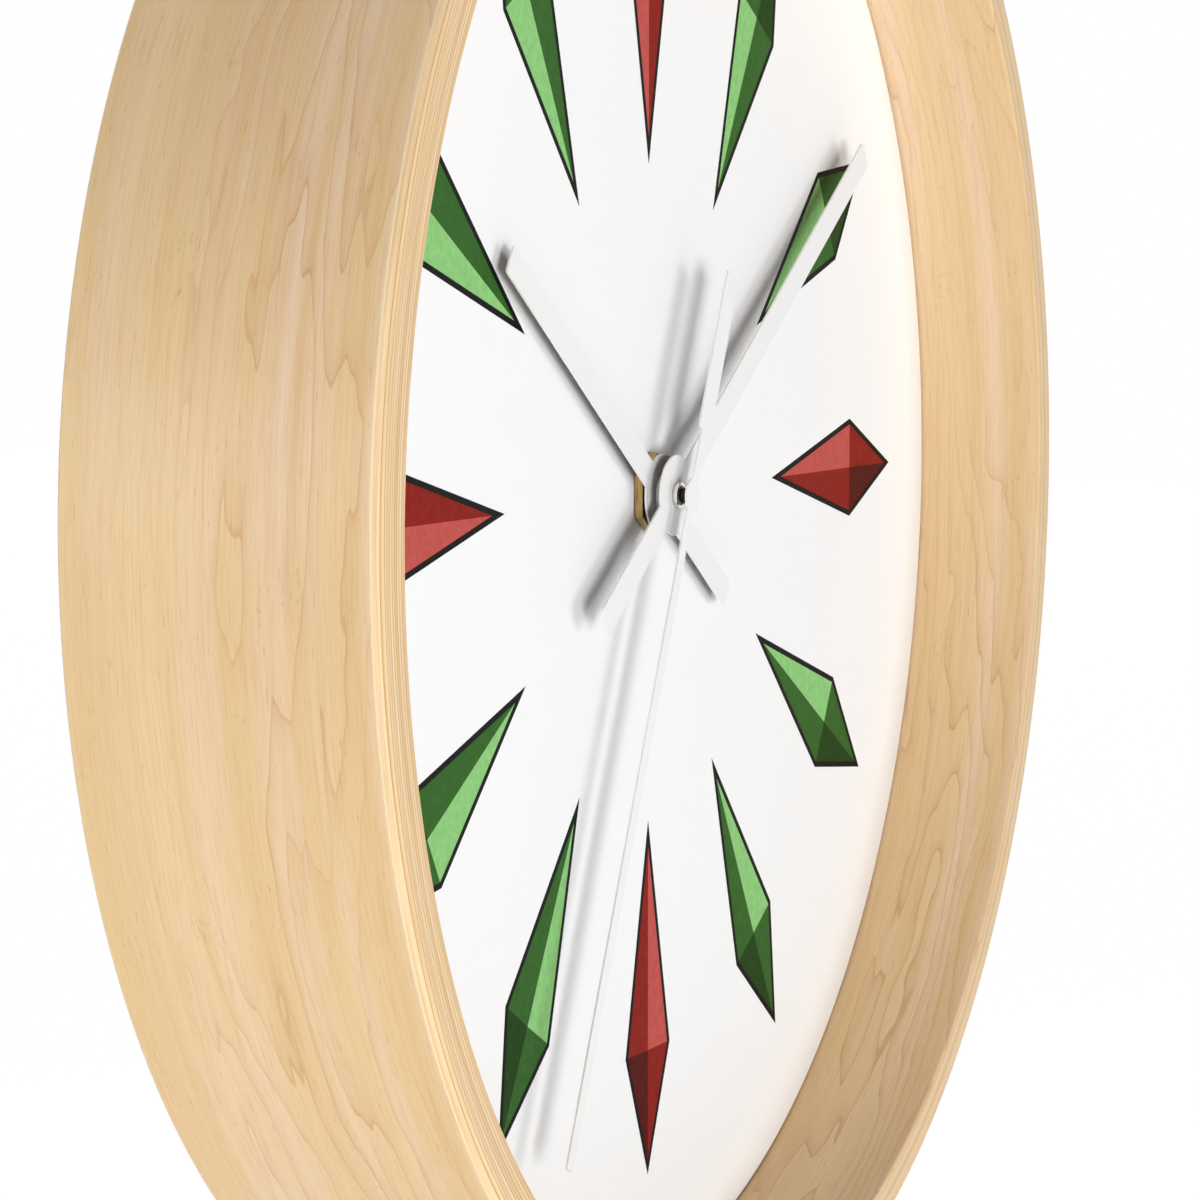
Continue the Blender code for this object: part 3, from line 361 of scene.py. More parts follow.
def ink(name, colour):
    """Dull ink with the slight unevenness of a printed film."""
    material = new_finish(name, {"Roughness": 0.55, "Specular IOR Level": 0.06})
    body = tint(colour)
    thin = tuple(min(1.0, channel * THIN_INK + SHEET_THROUGH) for channel in body[:3]) + (1.0,)
    density = fade(material, noise(material, own_place(material), 700.0, 3.0), 0.25, 0.75)
    feed_shader(material, {"Base Color": mix(material, density, body, thin)})
    return material


def pull(by):
    """Extrude the selected faces by this much."""
    bpy.ops.mesh.extrude_region_move(TRANSFORM_OT_translate={"value": by})


mark_middle = Vector((0.0, dial_low.y - INK_FILM, DIAL_AXIS.z + (MARK_INNER + MARK_OUTER) / 2))
mark_half = (MARK_OUTER - MARK_INNER) / 2
prints = open_piece("dial_print", bpy.ops.mesh.primitive_circle_add, vertices=4, radius=mark_half,
                    fill_type="NGON", location=mark_middle, rotation=(math.pi / 2, 0.0, 0.0))
pick(prints, "VERT", lambda point: abs(point.co.x) > WELD)
bpy.ops.transform.resize(value=(MARK_HALF_WIDTH / mark_half, 1.0, 1.0), center_override=mark_middle)
bpy.ops.transform.translate(value=(0.0, 0.0, DIAL_AXIS.z + MARK_SHOULDER - mark_middle.z))
pick(prints, "FACE", lambda face: True)
bpy.ops.mesh.inset(thickness=OUTLINE)
shoulder_line = DIAL_AXIS + Vector((0.0, 0.0, MARK_SHOULDER))
for across in ((1.0, 0.0, 0.0), (0.0, 0.0, 1.0)):
    pick(prints, "FACE", lambda face: not any(edge.is_boundary for edge in face.edges))
    bpy.ops.mesh.bisect(plane_co=shoulder_line, plane_no=across)
facets = bmesh.from_edit_mesh(prints.data)
for face in facets.faces:
    middle = face.calc_center_median()
    if not any(edge.is_boundary for edge in face.edges):
        face.material_index = 1 + (middle.x > 0.0) + (middle.z > shoulder_line.z)
bmesh.update_edit_mesh(prints.data)
bpy.ops.mesh.select_all(action="SELECT")
pull((0.0, 2 * INK_FILM, 0.0))
bpy.ops.mesh.select_all(action="SELECT")
bpy.ops.mesh.spin(steps=MARKS - 1, dupli=True, angle=2 * math.pi * (MARKS - 1) / MARKS,
                  center=DIAL_AXIS, axis=(0.0, 1.0, 0.0))
close_piece(prints, ink("black_ink", "080808"),
            ink("pale_green_ink", "86BF76"), ink("green_ink", "2F5A23"), ink("deep_green_ink", "17370B"),
            ink("pale_red_ink", "B4504A"), ink("red_ink", "7F1B14"), ink("deep_red_ink", "480907"))
for face in prints.data.polygons:
    quarter_turn = math.atan2(face.center.x, face.center.z - DIAL_AXIS.z) / (math.pi / 2)
    if face.material_index > 0 and abs(quarter_turn - round(quarter_turn)) < 2 / MARKS:
        face.material_index += TONES
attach(prints, "frame")

# Backing board
# A disc of brown hardboard that carries the dial and the movement, screwed to the support ring.
# Its rear face keeps the weave of the screen that it was pressed on.
WEAVE = 0.8 * MM
WEAVE_DEPTH = 0.15 * MM
hardboard = new_finish("pressed_hardboard", {"Roughness": 0.82, "Specular IOR Level": 0.2})
board_place = own_place(hardboard)
board_fibre = noise(hardboard, board_place, 420.0, 5.0, 0.65)
board_cloud = noise(hardboard, board_place, 25.0)
board_axes = axes(hardboard, board_place)
weave_across = reckon(hardboard, "PINGPONG", board_axes["X"], WEAVE)
weave_up = reckon(hardboard, "PINGPONG", board_axes["Z"], WEAVE)
weave = reckon(hardboard, "DIVIDE", reckon(hardboard, "MAXIMUM", weave_across, weave_up), WEAVE)
board_colour = mix(hardboard, fade(hardboard, board_fibre, 0.3, 0.7), tint("6E4F33"), tint("9A7650"))
board_colour = mix(hardboard, fade(hardboard, board_cloud, 0.3, 0.7, 0.0, 0.35), board_colour,
                   tint("7B5A3B"))
feed_shader(hardboard, {"Base Color": board_colour, "Normal": relief(hardboard, weave, WEAVE_DEPTH)})


def dress_node(name, material):
    """Give a node of the frame its finish."""
    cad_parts[name].data.materials[0] = material


dress_node("backing_board", hardboard)

# Support ring
# A ring cut from a poplar board and glued in the hoop behind the board, which is screwed to it.
# Its edges are sanded over and it has no finish.
RING_WIDTH = 12.0 * MM
RING_EDGE = 0.6 * MM
POPLAR_PORES = 0.03 * MM
ring_low, ring_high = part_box("support_ring")


def poplar_finish(name, turn):
    """Bare poplar with its grain along X, or turned about Y."""
    material = new_finish(name, {"Roughness": 0.66, "Specular IOR Level": 0.25})
    laid = add_node(material, "ShaderNodeMapping",
                    {"Vector": own_place(material), "Rotation": (0.0, turn, 0.0)})
    colour, pores = wood_figure(material, laid.outputs["Vector"], tint("CDB285"), tint("DECAA3"),
                                tint("CFC09A"), tint("A58A5A"), tint("8B7248"))
    feed_shader(material, {"Base Color": colour, "Normal": relief(material, pores, -POPLAR_PORES)})
    return material


ring = open_section("poplar_ring", DIAL_AXIS, ring_high.x - RING_WIDTH, ring_high.x,
                    ring_low.y, ring_high.y)
round_corners(ring, RING_EDGE, lambda at: True, EDGE_STEPS)
spin_section(DIAL_AXIS, DISC_STEPS)
close_piece(ring, poplar_finish("ring_poplar", 0.0))
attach(ring, "frame")
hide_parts("support_ring")

# Board screws
# Four zinc-plated pan-head screws with cross recesses, driven from the rear through the support
# ring into the board. The recesses are painted dark grey as painted shade.
BOARD_SCREWS = 4
BOARD_HEAD_HIGH = 1.6 * MM
BOARD_SHANK = 1.5 * MM
SCREW_STEPS = 40
CROWN = 0.6
CROWN_STEPS = 5
POINT = 0.05
RECESS_REACH = 0.62
RECESS_WIDTH = 0.20
RECESS_DEPTH = 0.62
RECESS_FIELD = 0.8
BRUSH_DEPTH = 0.006 * MM
HOLE_STEPS = 48
FACING = 0.9


def zinc_finish(name, colour, grain):
    """Zinc plate, brushed along X in cells of this many a metre."""
    material = new_finish(name, {"Metallic": 1.0})
    place = own_place(material)
    brush = noise(material, place, (grain / 30, grain, grain), 3.0, 0.6)
    cloud = noise(material, place, 180.0, 3.0)
    plate = mix(material, fade(material, cloud, 0.3, 0.7, 0.0, 0.55), tint(colour), tint("C9CACC"))
    feed_shader(material, {
        "Base Color": mix(material, fade(material, brush, 0.45, 0.8, 0.0, 0.45), plate, tint("7E8084")),
        "Roughness": fade(material, brush, 0.25, 0.75, 0.28, 0.46),
        "Normal": relief(material, brush, BRUSH_DEPTH),
    })
    return material


def open_box(name, low, high, turn=0.0):
    """Open a box between two corners, turned about its middle as seen along Y."""
    low, high = Vector(low), Vector(high)
    return open_piece(name, bpy.ops.mesh.primitive_cube_add, size=1.0, location=(low + high) / 2,
                      scale=high - low, rotation=(0.0, turn, 0.0))


def open_disc(name, axis, radius, front, back, steps):
    """Open a round plug on an axis along Y."""
    middle = (axis.x, (front + back) / 2, axis.z)
    return open_piece(name, bpy.ops.mesh.primitive_cylinder_add, vertices=steps, radius=radius,
                      depth=back - front, location=middle, rotation=(math.pi / 2, 0.0, 0.0))


def work_with(piece, tool, operation):
    """Cut a tool's shape out of a piece or join it on, and put the tool away."""
    bpy.ops.object.mode_set(mode="OBJECT")
    bpy.ops.object.select_all(action="DESELECT")
    piece.select_set(True)
    bpy.context.view_layer.objects.active = piece
    apply_modifier(piece, "BOOLEAN", operation=operation, object=tool)
    bpy.data.objects.remove(tool)
    bpy.ops.object.mode_set(mode="EDIT")


def cut_box(piece, low, high):
    work_with(piece, open_box("cutter", low, high), "DIFFERENCE")


def cut_disc(piece, axis, radius, front, back, steps=HOLE_STEPS):
    work_with(piece, open_disc("cutter", axis, radius, front, back, steps), "DIFFERENCE")


def ease_edges(piece, width, sharper_than=30.0):
    """Break the sharp edges of an open mesh."""
    bpy.ops.object.mode_set(mode="OBJECT")
    apply_modifier(piece, "BEVEL", width=width, segments=2, limit_method="ANGLE",
                   angle_limit=math.radians(sharper_than))
    bpy.ops.object.mode_set(mode="EDIT")


def pan_screw(name, node, head_high, shank, material):
    """Screw with a crowned head behind its seat, a cross recess and a pointed shank."""
    low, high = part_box(node)
    axis = Vector(((low.x + high.x) / 2, 0.0, (low.z + high.z) / 2))
    head = (high.x - low.x) / 2
    seat = high.y - head_high
    screw = open_disc(name, axis, head, seat, high.y, SCREW_STEPS)
    pick(screw, "EDGE", lambda edge: all(point.co.y > high.y - WELD for point in edge.verts))
    bpy.ops.mesh.bevel(offset=head_high * CROWN, segments=CROWN_STEPS, affect="EDGES")
    pick(screw, "FACE", lambda face: face.normal.y < -FACING)
    bpy.ops.mesh.inset(thickness=head - shank)
    pull((0.0, low.y + shank - seat, 0.0))
    pull((0.0, -shank, 0.0))
    bpy.ops.transform.resize(value=(POINT, 1.0, POINT), center_override=(axis.x, low.y, axis.z))
    floor = high.y - head_high * RECESS_DEPTH
    for reach, width in ((RECESS_REACH, RECESS_WIDTH), (RECESS_WIDTH, RECESS_REACH)):
        corner = Vector((head * reach, 0.0, head * width))
        cut_box(screw, axis - corner + Vector((0.0, floor, 0.0)),
                axis + corner + Vector((0.0, high.y + head_high, 0.0)))
    close_piece(screw, material, painted_recess_shade)
    # Painted shade: faces down in the cross recess take the dark grey finish.
    for face in screw.data.polygons:
        out = math.hypot(face.center.x - axis.x, face.center.z - axis.z)
        if seat < face.center.y < high.y - head_high * RECESS_DEPTH / 3 and out < head * RECESS_FIELD:
            face.material_index = 1
    return screw


def copy_screw(screw, name, node, from_node):
    """Another screw of the same kind at its own node."""
    bpy.ops.object.select_all(action="DESELECT")
    copy = screw.copy()
    copy.data = screw.data.copy()
    copy.name = name
    bpy.context.scene.collection.objects.link(copy)
    copy.select_set(True)
    bpy.context.view_layer.objects.active = copy
    copy.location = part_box(node)[0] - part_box(from_node)[0]
    bpy.ops.object.transform_apply(location=True, rotation=True, scale=True)
    return copy


def pan_screws(name, node, count, head_high, shank, material):
    """Set of like screws, numbered as their nodes are: the first is made and the rest are copied."""
    screws = [pan_screw(f"{name}_1", f"{node}_1", head_high, shank, material)]
    for number in range(2, count + 1):
        screws.append(copy_screw(screws[0], f"{name}_{number}", f"{node}_{number}", f"{node}_1"))
    for number, screw in enumerate(screws, 1):
        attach(screw, "frame")
        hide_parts(f"{node}_{number}")


bright_zinc = zinc_finish("bright_zinc", "AEB0B4", 5200.0)
painted_recess_shade = clouded_finish("painted_recess_shade", {"Metallic": 0.6, "Roughness": 0.62}, "2C2D2F", "505154",
                             cloud=(2400.0,))
pan_screws("ring_screw", "board_screw", BOARD_SCREWS, BOARD_HEAD_HIGH, BOARD_SHANK, bright_zinc)

# Hanger block
# A poplar batten glued behind the support ring at the top of the hoop, cut to the hoop's curve,
# with a slot-shaped pocket that clears the nail's head.
POCKET_RADIUS = 6.0 * MM
NAIL_SLOT = 5.0 * MM
NAIL_HEAD_HOLE = 9.0 * MM
NAIL_RUN = 6.0 * MM
BLOCK_EDGE = 0.5 * MM
BLOCK_LEAN = 0.02
block_low, block_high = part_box("hanger_block")
slot_axis = Vector((0.0, 0.0, -NAIL_SLOT / 2))
head_axis = slot_axis - Vector((0.0, 0.0, NAIL_RUN))
pocket_front, pocket_back = block_low.y - MM, block_high.y + MM
block = open_box("hanger_batten", block_low, block_high)
bore = open_disc("cutter", DIAL_AXIS, ring_high.x, pocket_front, pocket_back, DISC_STEPS)
work_with(block, bore, "INTERSECT")
for pocket_axis in (slot_axis, head_axis):
    cut_disc(block, pocket_axis, POCKET_RADIUS, pocket_front, pocket_back)
cut_box(block, (-POCKET_RADIUS, pocket_front, head_axis.z), (POCKET_RADIUS, pocket_back, slot_axis.z))
ease_edges(block, BLOCK_EDGE)
close_piece(block, poplar_finish("batten_poplar", BLOCK_LEAN))
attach(block, "frame")
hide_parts("hanger_block")

# Hanger plate
# A stamped strip of zinc-plated sheet steel with a keyhole, screwed over the pocket. The nail's
# head goes in at the round hole and the clock drops until the slot carries it.
PLATE_CORNER = 3.0 * MM
PLATE_EDGE = 0.18 * MM
HANGER_SCREWS = 2
HANGER_HOLE = 1.55 * MM
HANGER_HOLE_STEPS = 32
HANGER_HEAD_HIGH = 1.1 * MM
HANGER_SHANK = 1.3 * MM
plate_low, plate_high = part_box("hanger_plate")


def round_sides(piece, radius, steps=ROUND_STEPS):
    """Round the edges of an open box that run along Y."""
    pick(piece, "EDGE", lambda edge: abs(edge.verts[0].co.y - edge.verts[1].co.y) > WELD)
    bpy.ops.mesh.bevel(offset=radius, segments=steps, affect="EDGES")


plate = open_box("keyhole_plate", plate_low, plate_high)
round_sides(plate, PLATE_CORNER)
plate_front, plate_back = plate_low.y - MM, plate_high.y + MM
cut_disc(plate, head_axis, NAIL_HEAD_HOLE / 2, plate_front, plate_back)
cut_disc(plate, slot_axis, NAIL_SLOT / 2, plate_front, plate_back)
cut_box(plate, (-NAIL_SLOT / 2, plate_front, head_axis.z), (NAIL_SLOT / 2, plate_back, slot_axis.z))
for number in range(1, HANGER_SCREWS + 1):
    screw_low, screw_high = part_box(f"hanger_screw_{number}")
    cut_disc(plate, (screw_low + screw_high) / 2, HANGER_HOLE, plate_front, plate_back, HANGER_HOLE_STEPS)
ease_edges(plate, PLATE_EDGE)
close_piece(plate, zinc_finish("plate_zinc", "A3A5A9", 3400.0))
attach(plate, "frame")
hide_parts("hanger_plate")
pan_screws("hanger_plate_screw", "hanger_screw", HANGER_SCREWS, HANGER_HEAD_HIGH, HANGER_SHANK,
           bright_zinc)

# Movement case
# A box moulded in black plastic with a fine spark-eroded skin. The gear room is above, the open
# battery bay below, and the bush goes out through the floor to the dial.
CASE_FLOOR = 1.4 * MM
CASE_CORNER = 3.0 * MM
CASE_EDGE = 0.35 * MM
LID_LEDGE = 0.6 * MM
LID_GAP = 0.3 * MM
LID_SEAT = 1.6 * MM
MOULD_SKIN = 0.02 * MM
case_low, case_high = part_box("movement_case")
lid_low, lid_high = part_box("movement_cover")
cell_low, cell_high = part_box("battery")


def moulded_black(name, colour, skin):
    """Black moulding with a fine eroded skin, in cells of this many a metre."""
    return clouded_finish(name, {"Specular IOR Level": 0.45}, colour, "2B2B2D",
                          cloud=(60.0,), skin=(skin,), rough=(0.44, 0.62), depth=MOULD_SKIN)


black_moulding = moulded_black("case_black", "1C1C1E", 2600.0)
case = open_box("movement_box", case_low, case_high)
round_sides(case, CASE_CORNER)
ledge = Vector((LID_LEDGE - LID_GAP, 0.0, LID_LEDGE - LID_GAP))
room_low, room_high = lid_low + ledge, lid_high - ledge
case_floor = case_low.y + CASE_FLOOR
lid_seat = lid_high.y - LID_SEAT
past_back = case_high.y + MM
cut_box(case, (room_low.x, case_floor, room_low.z), (room_high.x, past_back, room_high.z))
cut_box(case, (lid_low.x - LID_GAP, lid_seat, lid_low.z - LID_GAP),
        (lid_high.x + LID_GAP, past_back, lid_high.z + LID_GAP))
cut_box(case, (room_low.x, case_floor, cell_low.z - LID_GAP),
        (room_high.x, past_back, cell_high.z + LID_GAP))
cut_disc(case, DIAL_AXIS, DIAL_HOLE, case_low.y - MM, case_floor + MM)
ease_edges(case, CASE_EDGE)
close_piece(case, black_moulding)
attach(case, "frame")
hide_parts("movement_case")

# Movement cover
# The moulded lid of the gear room, snapped onto a ledge in the case. A raised collar guards the
# setting knob, and three low ribs stiffen the lid.
COLLAR_GAP = 0.9 * MM
COLLAR_WALL = 0.9 * MM
COLLAR_HIGH = 0.9 * MM
COLLAR_STEPS = 72
LID_EDGE = 0.3 * MM
LID_THICK = 1.4 * MM
RIBS = 3
RIB_STEP = 5.0 * MM
RIB_REACH = 18.0 * MM
RIB_WIDTH = 0.8 * MM
RIB_HIGH = 0.5 * MM
ARBOR_HOLE = 1.25 * MM
knob_low, knob_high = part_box("setting_knob")
knob_axis = Vector(((knob_low.x + knob_high.x) / 2, 0.0, (knob_low.z + knob_high.z) / 2))
knob_radius = (knob_high.x - knob_low.x) / 2
lid = open_box("movement_lid", (lid_low.x, lid_high.y - LID_THICK, lid_low.z), lid_high)
lid_middle = lid_high.y - LID_THICK / 2
for number in range(RIBS):
    rib_height = lid_high.z - RIB_STEP * (number + 1)
    rib = open_box("addition", (-RIB_REACH, lid_middle, rib_height - RIB_WIDTH / 2),
                   (RIB_REACH, lid_high.y + RIB_HIGH, rib_height + RIB_WIDTH / 2))
    work_with(lid, rib, "UNION")
collar_bore = knob_radius + COLLAR_GAP
collar = open_disc("addition", knob_axis, collar_bore + COLLAR_WALL, lid_middle, lid_high.y + COLLAR_HIGH,
                   COLLAR_STEPS)
work_with(lid, collar, "UNION")
cut_disc(lid, knob_axis, collar_bore, lid_high.y, lid_high.y + 2 * COLLAR_HIGH, COLLAR_STEPS)
cut_disc(lid, knob_axis, ARBOR_HOLE, lid_low.y - MM, lid_high.y + MM)
ease_edges(lid, LID_EDGE)
close_piece(lid, moulded_black("lid_black", "1A1A1C", 2600.0))
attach(lid, "frame")
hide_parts("movement_cover")

# Setting knob
# A grooved black knob pressed on the motion arbor, turned by a finger to set the hands. A dished
# face keeps it low.
KNOB_GROOVES = 20
KNOB_GROOVE = 0.4 * MM
GROOVE_STEPS = 4
KNOB_STEPS = GROOVE_STEPS * KNOB_GROOVES
KNOB_EDGE = 0.25 * MM
KNOB_RIM = 0.28
KNOB_DISH = 0.5 * MM
DISH_TAPER = 0.9
knob = open_disc("grooved_knob", knob_axis, knob_radius, knob_low.y, knob_high.y, KNOB_STEPS)
pick(knob, "FACE", lambda face: face.normal.y > FACING)
bpy.ops.mesh.inset(thickness=knob_radius * KNOB_RIM)
pull((0.0, -KNOB_DISH, 0.0))
bpy.ops.transform.resize(value=(DISH_TAPER, 1.0, DISH_TAPER), center_override=knob_axis)


def in_groove(point):
    """Tell a rim point that lies at the bottom of a groove."""
    across, up = point.co.x - knob_axis.x, point.co.z - knob_axis.z
    step = math.atan2(across, up) / (2 * math.pi) * KNOB_STEPS
    on_rim = math.hypot(across, up) > knob_radius - WELD
    return on_rim and round(step) % GROOVE_STEPS == GROOVE_STEPS / 2


pick(knob, "VERT", in_groove)
groove_scale = 1 - KNOB_GROOVE / knob_radius
bpy.ops.transform.resize(value=(groove_scale, 1.0, groove_scale), center_override=knob_axis)
ease_edges(knob, KNOB_EDGE, sharper_than=50.0)
close_piece(knob, black_moulding, smooth_under=25.0)
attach(knob, "setting")
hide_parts("setting_knob")

# Battery
# One AA cell in a printed foil sleeve, with the rolled rim of its steel can showing at each end
# and a nub at the plus end. It lies across the bay between the contacts.
CELL_STEPS = 72
CELL_EDGE = 0.6 * MM
CELL_EDGE_STEPS = 5
NUB_RADIUS = 2.7 * MM
NUB_LENGTH = 1.3 * MM
NUB_EDGE = 0.4 * MM
NUB_EDGE_STEPS = 4
SLEEVE_LAP = 1.1 * MM
RIM_WIDTH = 0.25 * MM
RIM_DEPTH = 0.3 * MM
ENDS_FROM = 20.0 * MM
STRIPE_AT = 14.0 * MM
STRIPE_WIDTH = 3.0 * MM
STRIPE_BLUR = 0.05 * MM
FOIL_WRINKLE = 0.004 * MM
SHARP = 0.8
cell_middle = (cell_low + cell_high) / 2
cell_radius = (cell_high.z - cell_low.z) / 2
shoulder = cell_high.x - NUB_LENGTH
cell = open_piece("aa_cell", bpy.ops.mesh.primitive_cylinder_add, vertices=CELL_STEPS, radius=cell_radius,
                  depth=shoulder - cell_low.x, rotation=(0.0, math.pi / 2, 0.0),
                  location=((shoulder + cell_low.x) / 2, cell_middle.y, cell_middle.z))
pick(cell, "FACE", lambda face: abs(face.normal.x) > FACING)
bpy.ops.mesh.inset(thickness=SLEEVE_LAP, use_individual=True)
bpy.ops.mesh.inset(thickness=RIM_WIDTH, depth=-RIM_DEPTH, use_individual=True)
pick(cell, "FACE", lambda face: face.normal.x > FACING and len(face.verts) > 4)
bpy.ops.mesh.inset(thickness=cell_radius - SLEEVE_LAP - RIM_WIDTH - NUB_RADIUS)
pull((NUB_LENGTH + RIM_DEPTH, 0.0, 0.0))
pick(cell, "EDGE", lambda edge: all(point.co.x > cell_high.x - WELD for point in edge.verts))
bpy.ops.mesh.bevel(offset=NUB_EDGE, segments=NUB_EDGE_STEPS, affect="EDGES")
pick(cell, "EDGE", lambda edge: edge.calc_face_angle(0.0) > SHARP and all(
    math.hypot(point.co.y - cell_middle.y, point.co.z - cell_middle.z) > cell_radius - WELD
    for point in edge.verts))
bpy.ops.mesh.bevel(offset=CELL_EDGE, segments=CELL_EDGE_STEPS, affect="EDGES")
sleeve_foil = new_finish("sleeve_foil", {"Metallic": 0.35, "Coat Weight": 0.4, "Coat Roughness": 0.12})
foil_place = own_place(sleeve_foil)
from_stripe = reckon(sleeve_foil, "SUBTRACT", axes(sleeve_foil, foil_place)["X"], cell_high.x - STRIPE_AT)
stripe_off = reckon(sleeve_foil, "ABSOLUTE", from_stripe)
in_stripe = fade(sleeve_foil, stripe_off, STRIPE_WIDTH / 2 - STRIPE_BLUR, STRIPE_WIDTH / 2, 1.0, 0.0)
foil_wrinkle = noise(sleeve_foil, foil_place, (90.0, 420.0, 420.0), 3.0)
foil_colour = mix(sleeve_foil, foil_wrinkle, tint("3F5D73"), tint("4E6F88"))
feed_shader(sleeve_foil, {
    "Base Color": mix(sleeve_foil, in_stripe, foil_colour, tint("D9DCDD")),
    "Roughness": fade(sleeve_foil, foil_wrinkle, 0.3, 0.7, 0.24, 0.36),
    "Normal": relief(sleeve_foil, foil_wrinkle, FOIL_WRINKLE),
})
nickel = zinc_finish("bright_nickel", "B9B7B2", 4200.0)
close_piece(cell, sleeve_foil, nickel)
for face in cell.data.polygons:
    reach = math.hypot(face.center.y - cell_middle.y, face.center.z - cell_middle.z)
    if reach < cell_radius - SLEEVE_LAP and abs(face.center.x - cell_middle.x) > ENDS_FROM:
        face.material_index = 1
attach(cell, "cell")
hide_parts("battery")

# Battery contacts
# Strips of nickel-plated spring steel pushed into the ends of the bay: a flat one for the plus
# nub and one with a pressed dimple for the can.
dress_node("positive_contact", nickel)
dress_node("negative_contact", nickel)

# Bush and gasket
# The movement's threaded brass bush comes through the dial, with a ring of black rubber between
# the case and the board.
THREAD_PITCH = 0.75 * MM


def ridges(material, value, pitch):
    """Height from 0 to 1 of ridges at this pitch along a coordinate."""
    return reckon(material, "DIVIDE", reckon(material, "PINGPONG", value, pitch / 2), pitch / 2)


def brass_finish(name, thread):
    """Dull machined brass with turning marks, or a thread of this pitch, along Y."""
    material = new_finish(name, {"Metallic": 1.0})
    place = own_place(material)
    marks = ridges(material, axes(material, place)["Y"], thread)
    cloud = noise(material, place, (160.0, 1500.0, 160.0), 3.0, 0.6)
    colour = mix(material, fade(material, cloud, 0.35, 0.65), tint("8E7740"), tint("CDB176"))
    feed_shader(material, {
        "Base Color": colour,
        "Roughness": fade(material, cloud, 0.3, 0.7, 0.30, 0.48),
        "Normal": relief(material, marks, thread / 12),
    })
    return material


rubber = clouded_finish("black_rubber", {"Roughness": 0.85, "Specular IOR Level": 0.25},
                        "161616", "2E2E2D", cloud=(300.0, 4.0))
dress_node("threaded_bush", brass_finish("threaded_brass", THREAD_PITCH))
dress_node("rubber_gasket", rubber)

# Dial nut
# A thin brass hexagon nut on the bush that clamps the dial and board to the movement. Its six
# front edges are chamfered at 30 degrees.
NUT_STEPS = 6
NUT_CHAMFER = 0.7 * MM
NUT_SLOPE = math.radians(30.0)
NUT_EDGE = 0.06 * MM
NUT_HOLE_STEPS = 64
TOOL_MARKS = 0.11 * MM
nut_low, nut_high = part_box("dial_nut")
nut_corner = (nut_high.z - nut_low.z) / 2
nut = open_disc("hexagon_nut", DIAL_AXIS, nut_corner, nut_low.y, nut_high.y, NUT_STEPS)
pick(nut, "FACE", lambda face: face.normal.y < -FACING)
bpy.ops.mesh.inset(thickness=NUT_CHAMFER)
pick(nut, "VERT", lambda point: point.co.y < nut_low.y + WELD
     and math.hypot(point.co.x, point.co.z - DIAL_AXIS.z) > nut_corner - WELD)
bpy.ops.transform.translate(value=(0.0, NUT_CHAMFER * math.tan(NUT_SLOPE), 0.0))
cut_disc(nut, DIAL_AXIS, DIAL_HOLE, nut_low.y - MM, nut_high.y + MM, NUT_HOLE_STEPS)
ease_edges(nut, NUT_EDGE, sharper_than=25.0)
close_piece(nut, brass_finish("nut_brass", TOOL_MARKS))
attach(nut, "frame")
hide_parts("dial_nut")

# Hour hand
# A strip with a round hub and square ends, stamped from thin aluminium and pushed onto the hour
# tube. It is painted white in front over a black primer that is left bare behind.
HAND_CORNER = 0.55 * MM
CORNER_STEPS = 4
HAND_EDGE = 0.05 * MM
HUB_STEPS = 72
FLAT_BACK = 0.99
PAINT_SKIN = 0.004 * MM
HOUR_BEARING = math.radians(304.1)
HOUR_TIP = 62.6 * MM
HOUR_TAIL = 30.1 * MM
HOUR_WIDTH = 4.3 * MM
HOUR_HUB = 6.15 * MM
HOUR_HOLE = 2.65 * MM


def join_strip(hand, bearing, start, end, width, front, back):
    """Join a strip with rounded corners to a hand, from one distance to another along a bearing."""
    along = Vector((math.sin(bearing), 0.0, math.cos(bearing)))
    middle = DIAL_AXIS + along * (start + end) / 2 + Vector((0.0, (front + back) / 2, 0.0))
    half = Vector((width / 2, (back - front) / 2, (end - start) / 2))
    strip = open_box("addition", middle - half, middle + half, bearing)
    round_sides(strip, HAND_CORNER, CORNER_STEPS)
    work_with(hand, strip, "UNION")


def stamp_hand(name, node, bearing, hub, strips, hole=0.0, steps=HUB_STEPS):
    """Hand with a round hub and strips, each from a start to an end at a width, and black behind."""
    low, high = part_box(node)
    hand = open_disc(name, DIAL_AXIS, hub, low.y, high.y, steps)
    for start, end, width in strips:
        join_strip(hand, bearing, start, end, width, low.y, high.y)
    if hole:
        cut_disc(hand, DIAL_AXIS, hole, low.y - MM, high.y + MM)
    ease_edges(hand, HAND_EDGE)
    close_piece(hand, hand_paint, black_primer)
    for face in hand.data.polygons:
        face.material_index = int(face.normal.y > FLAT_BACK)
    return hand


hand_paint = clouded_finish("hand_paint", {"Specular IOR Level": 0.2}, "F1F1F1", "F5F5F5",
                            cloud=(40.0,), skin=(650.0,), rough=(0.42, 0.52), depth=PAINT_SKIN)
black_primer = moulded_black("black_primer", "161617", 1500.0)
hour_hand = stamp_hand("hour_pointer", "hour_hand", HOUR_BEARING, HOUR_HUB,
                       [(-HOUR_TAIL, HOUR_TIP, HOUR_WIDTH)], HOUR_HOLE)
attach(hour_hand, "hour")
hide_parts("hour_hand")

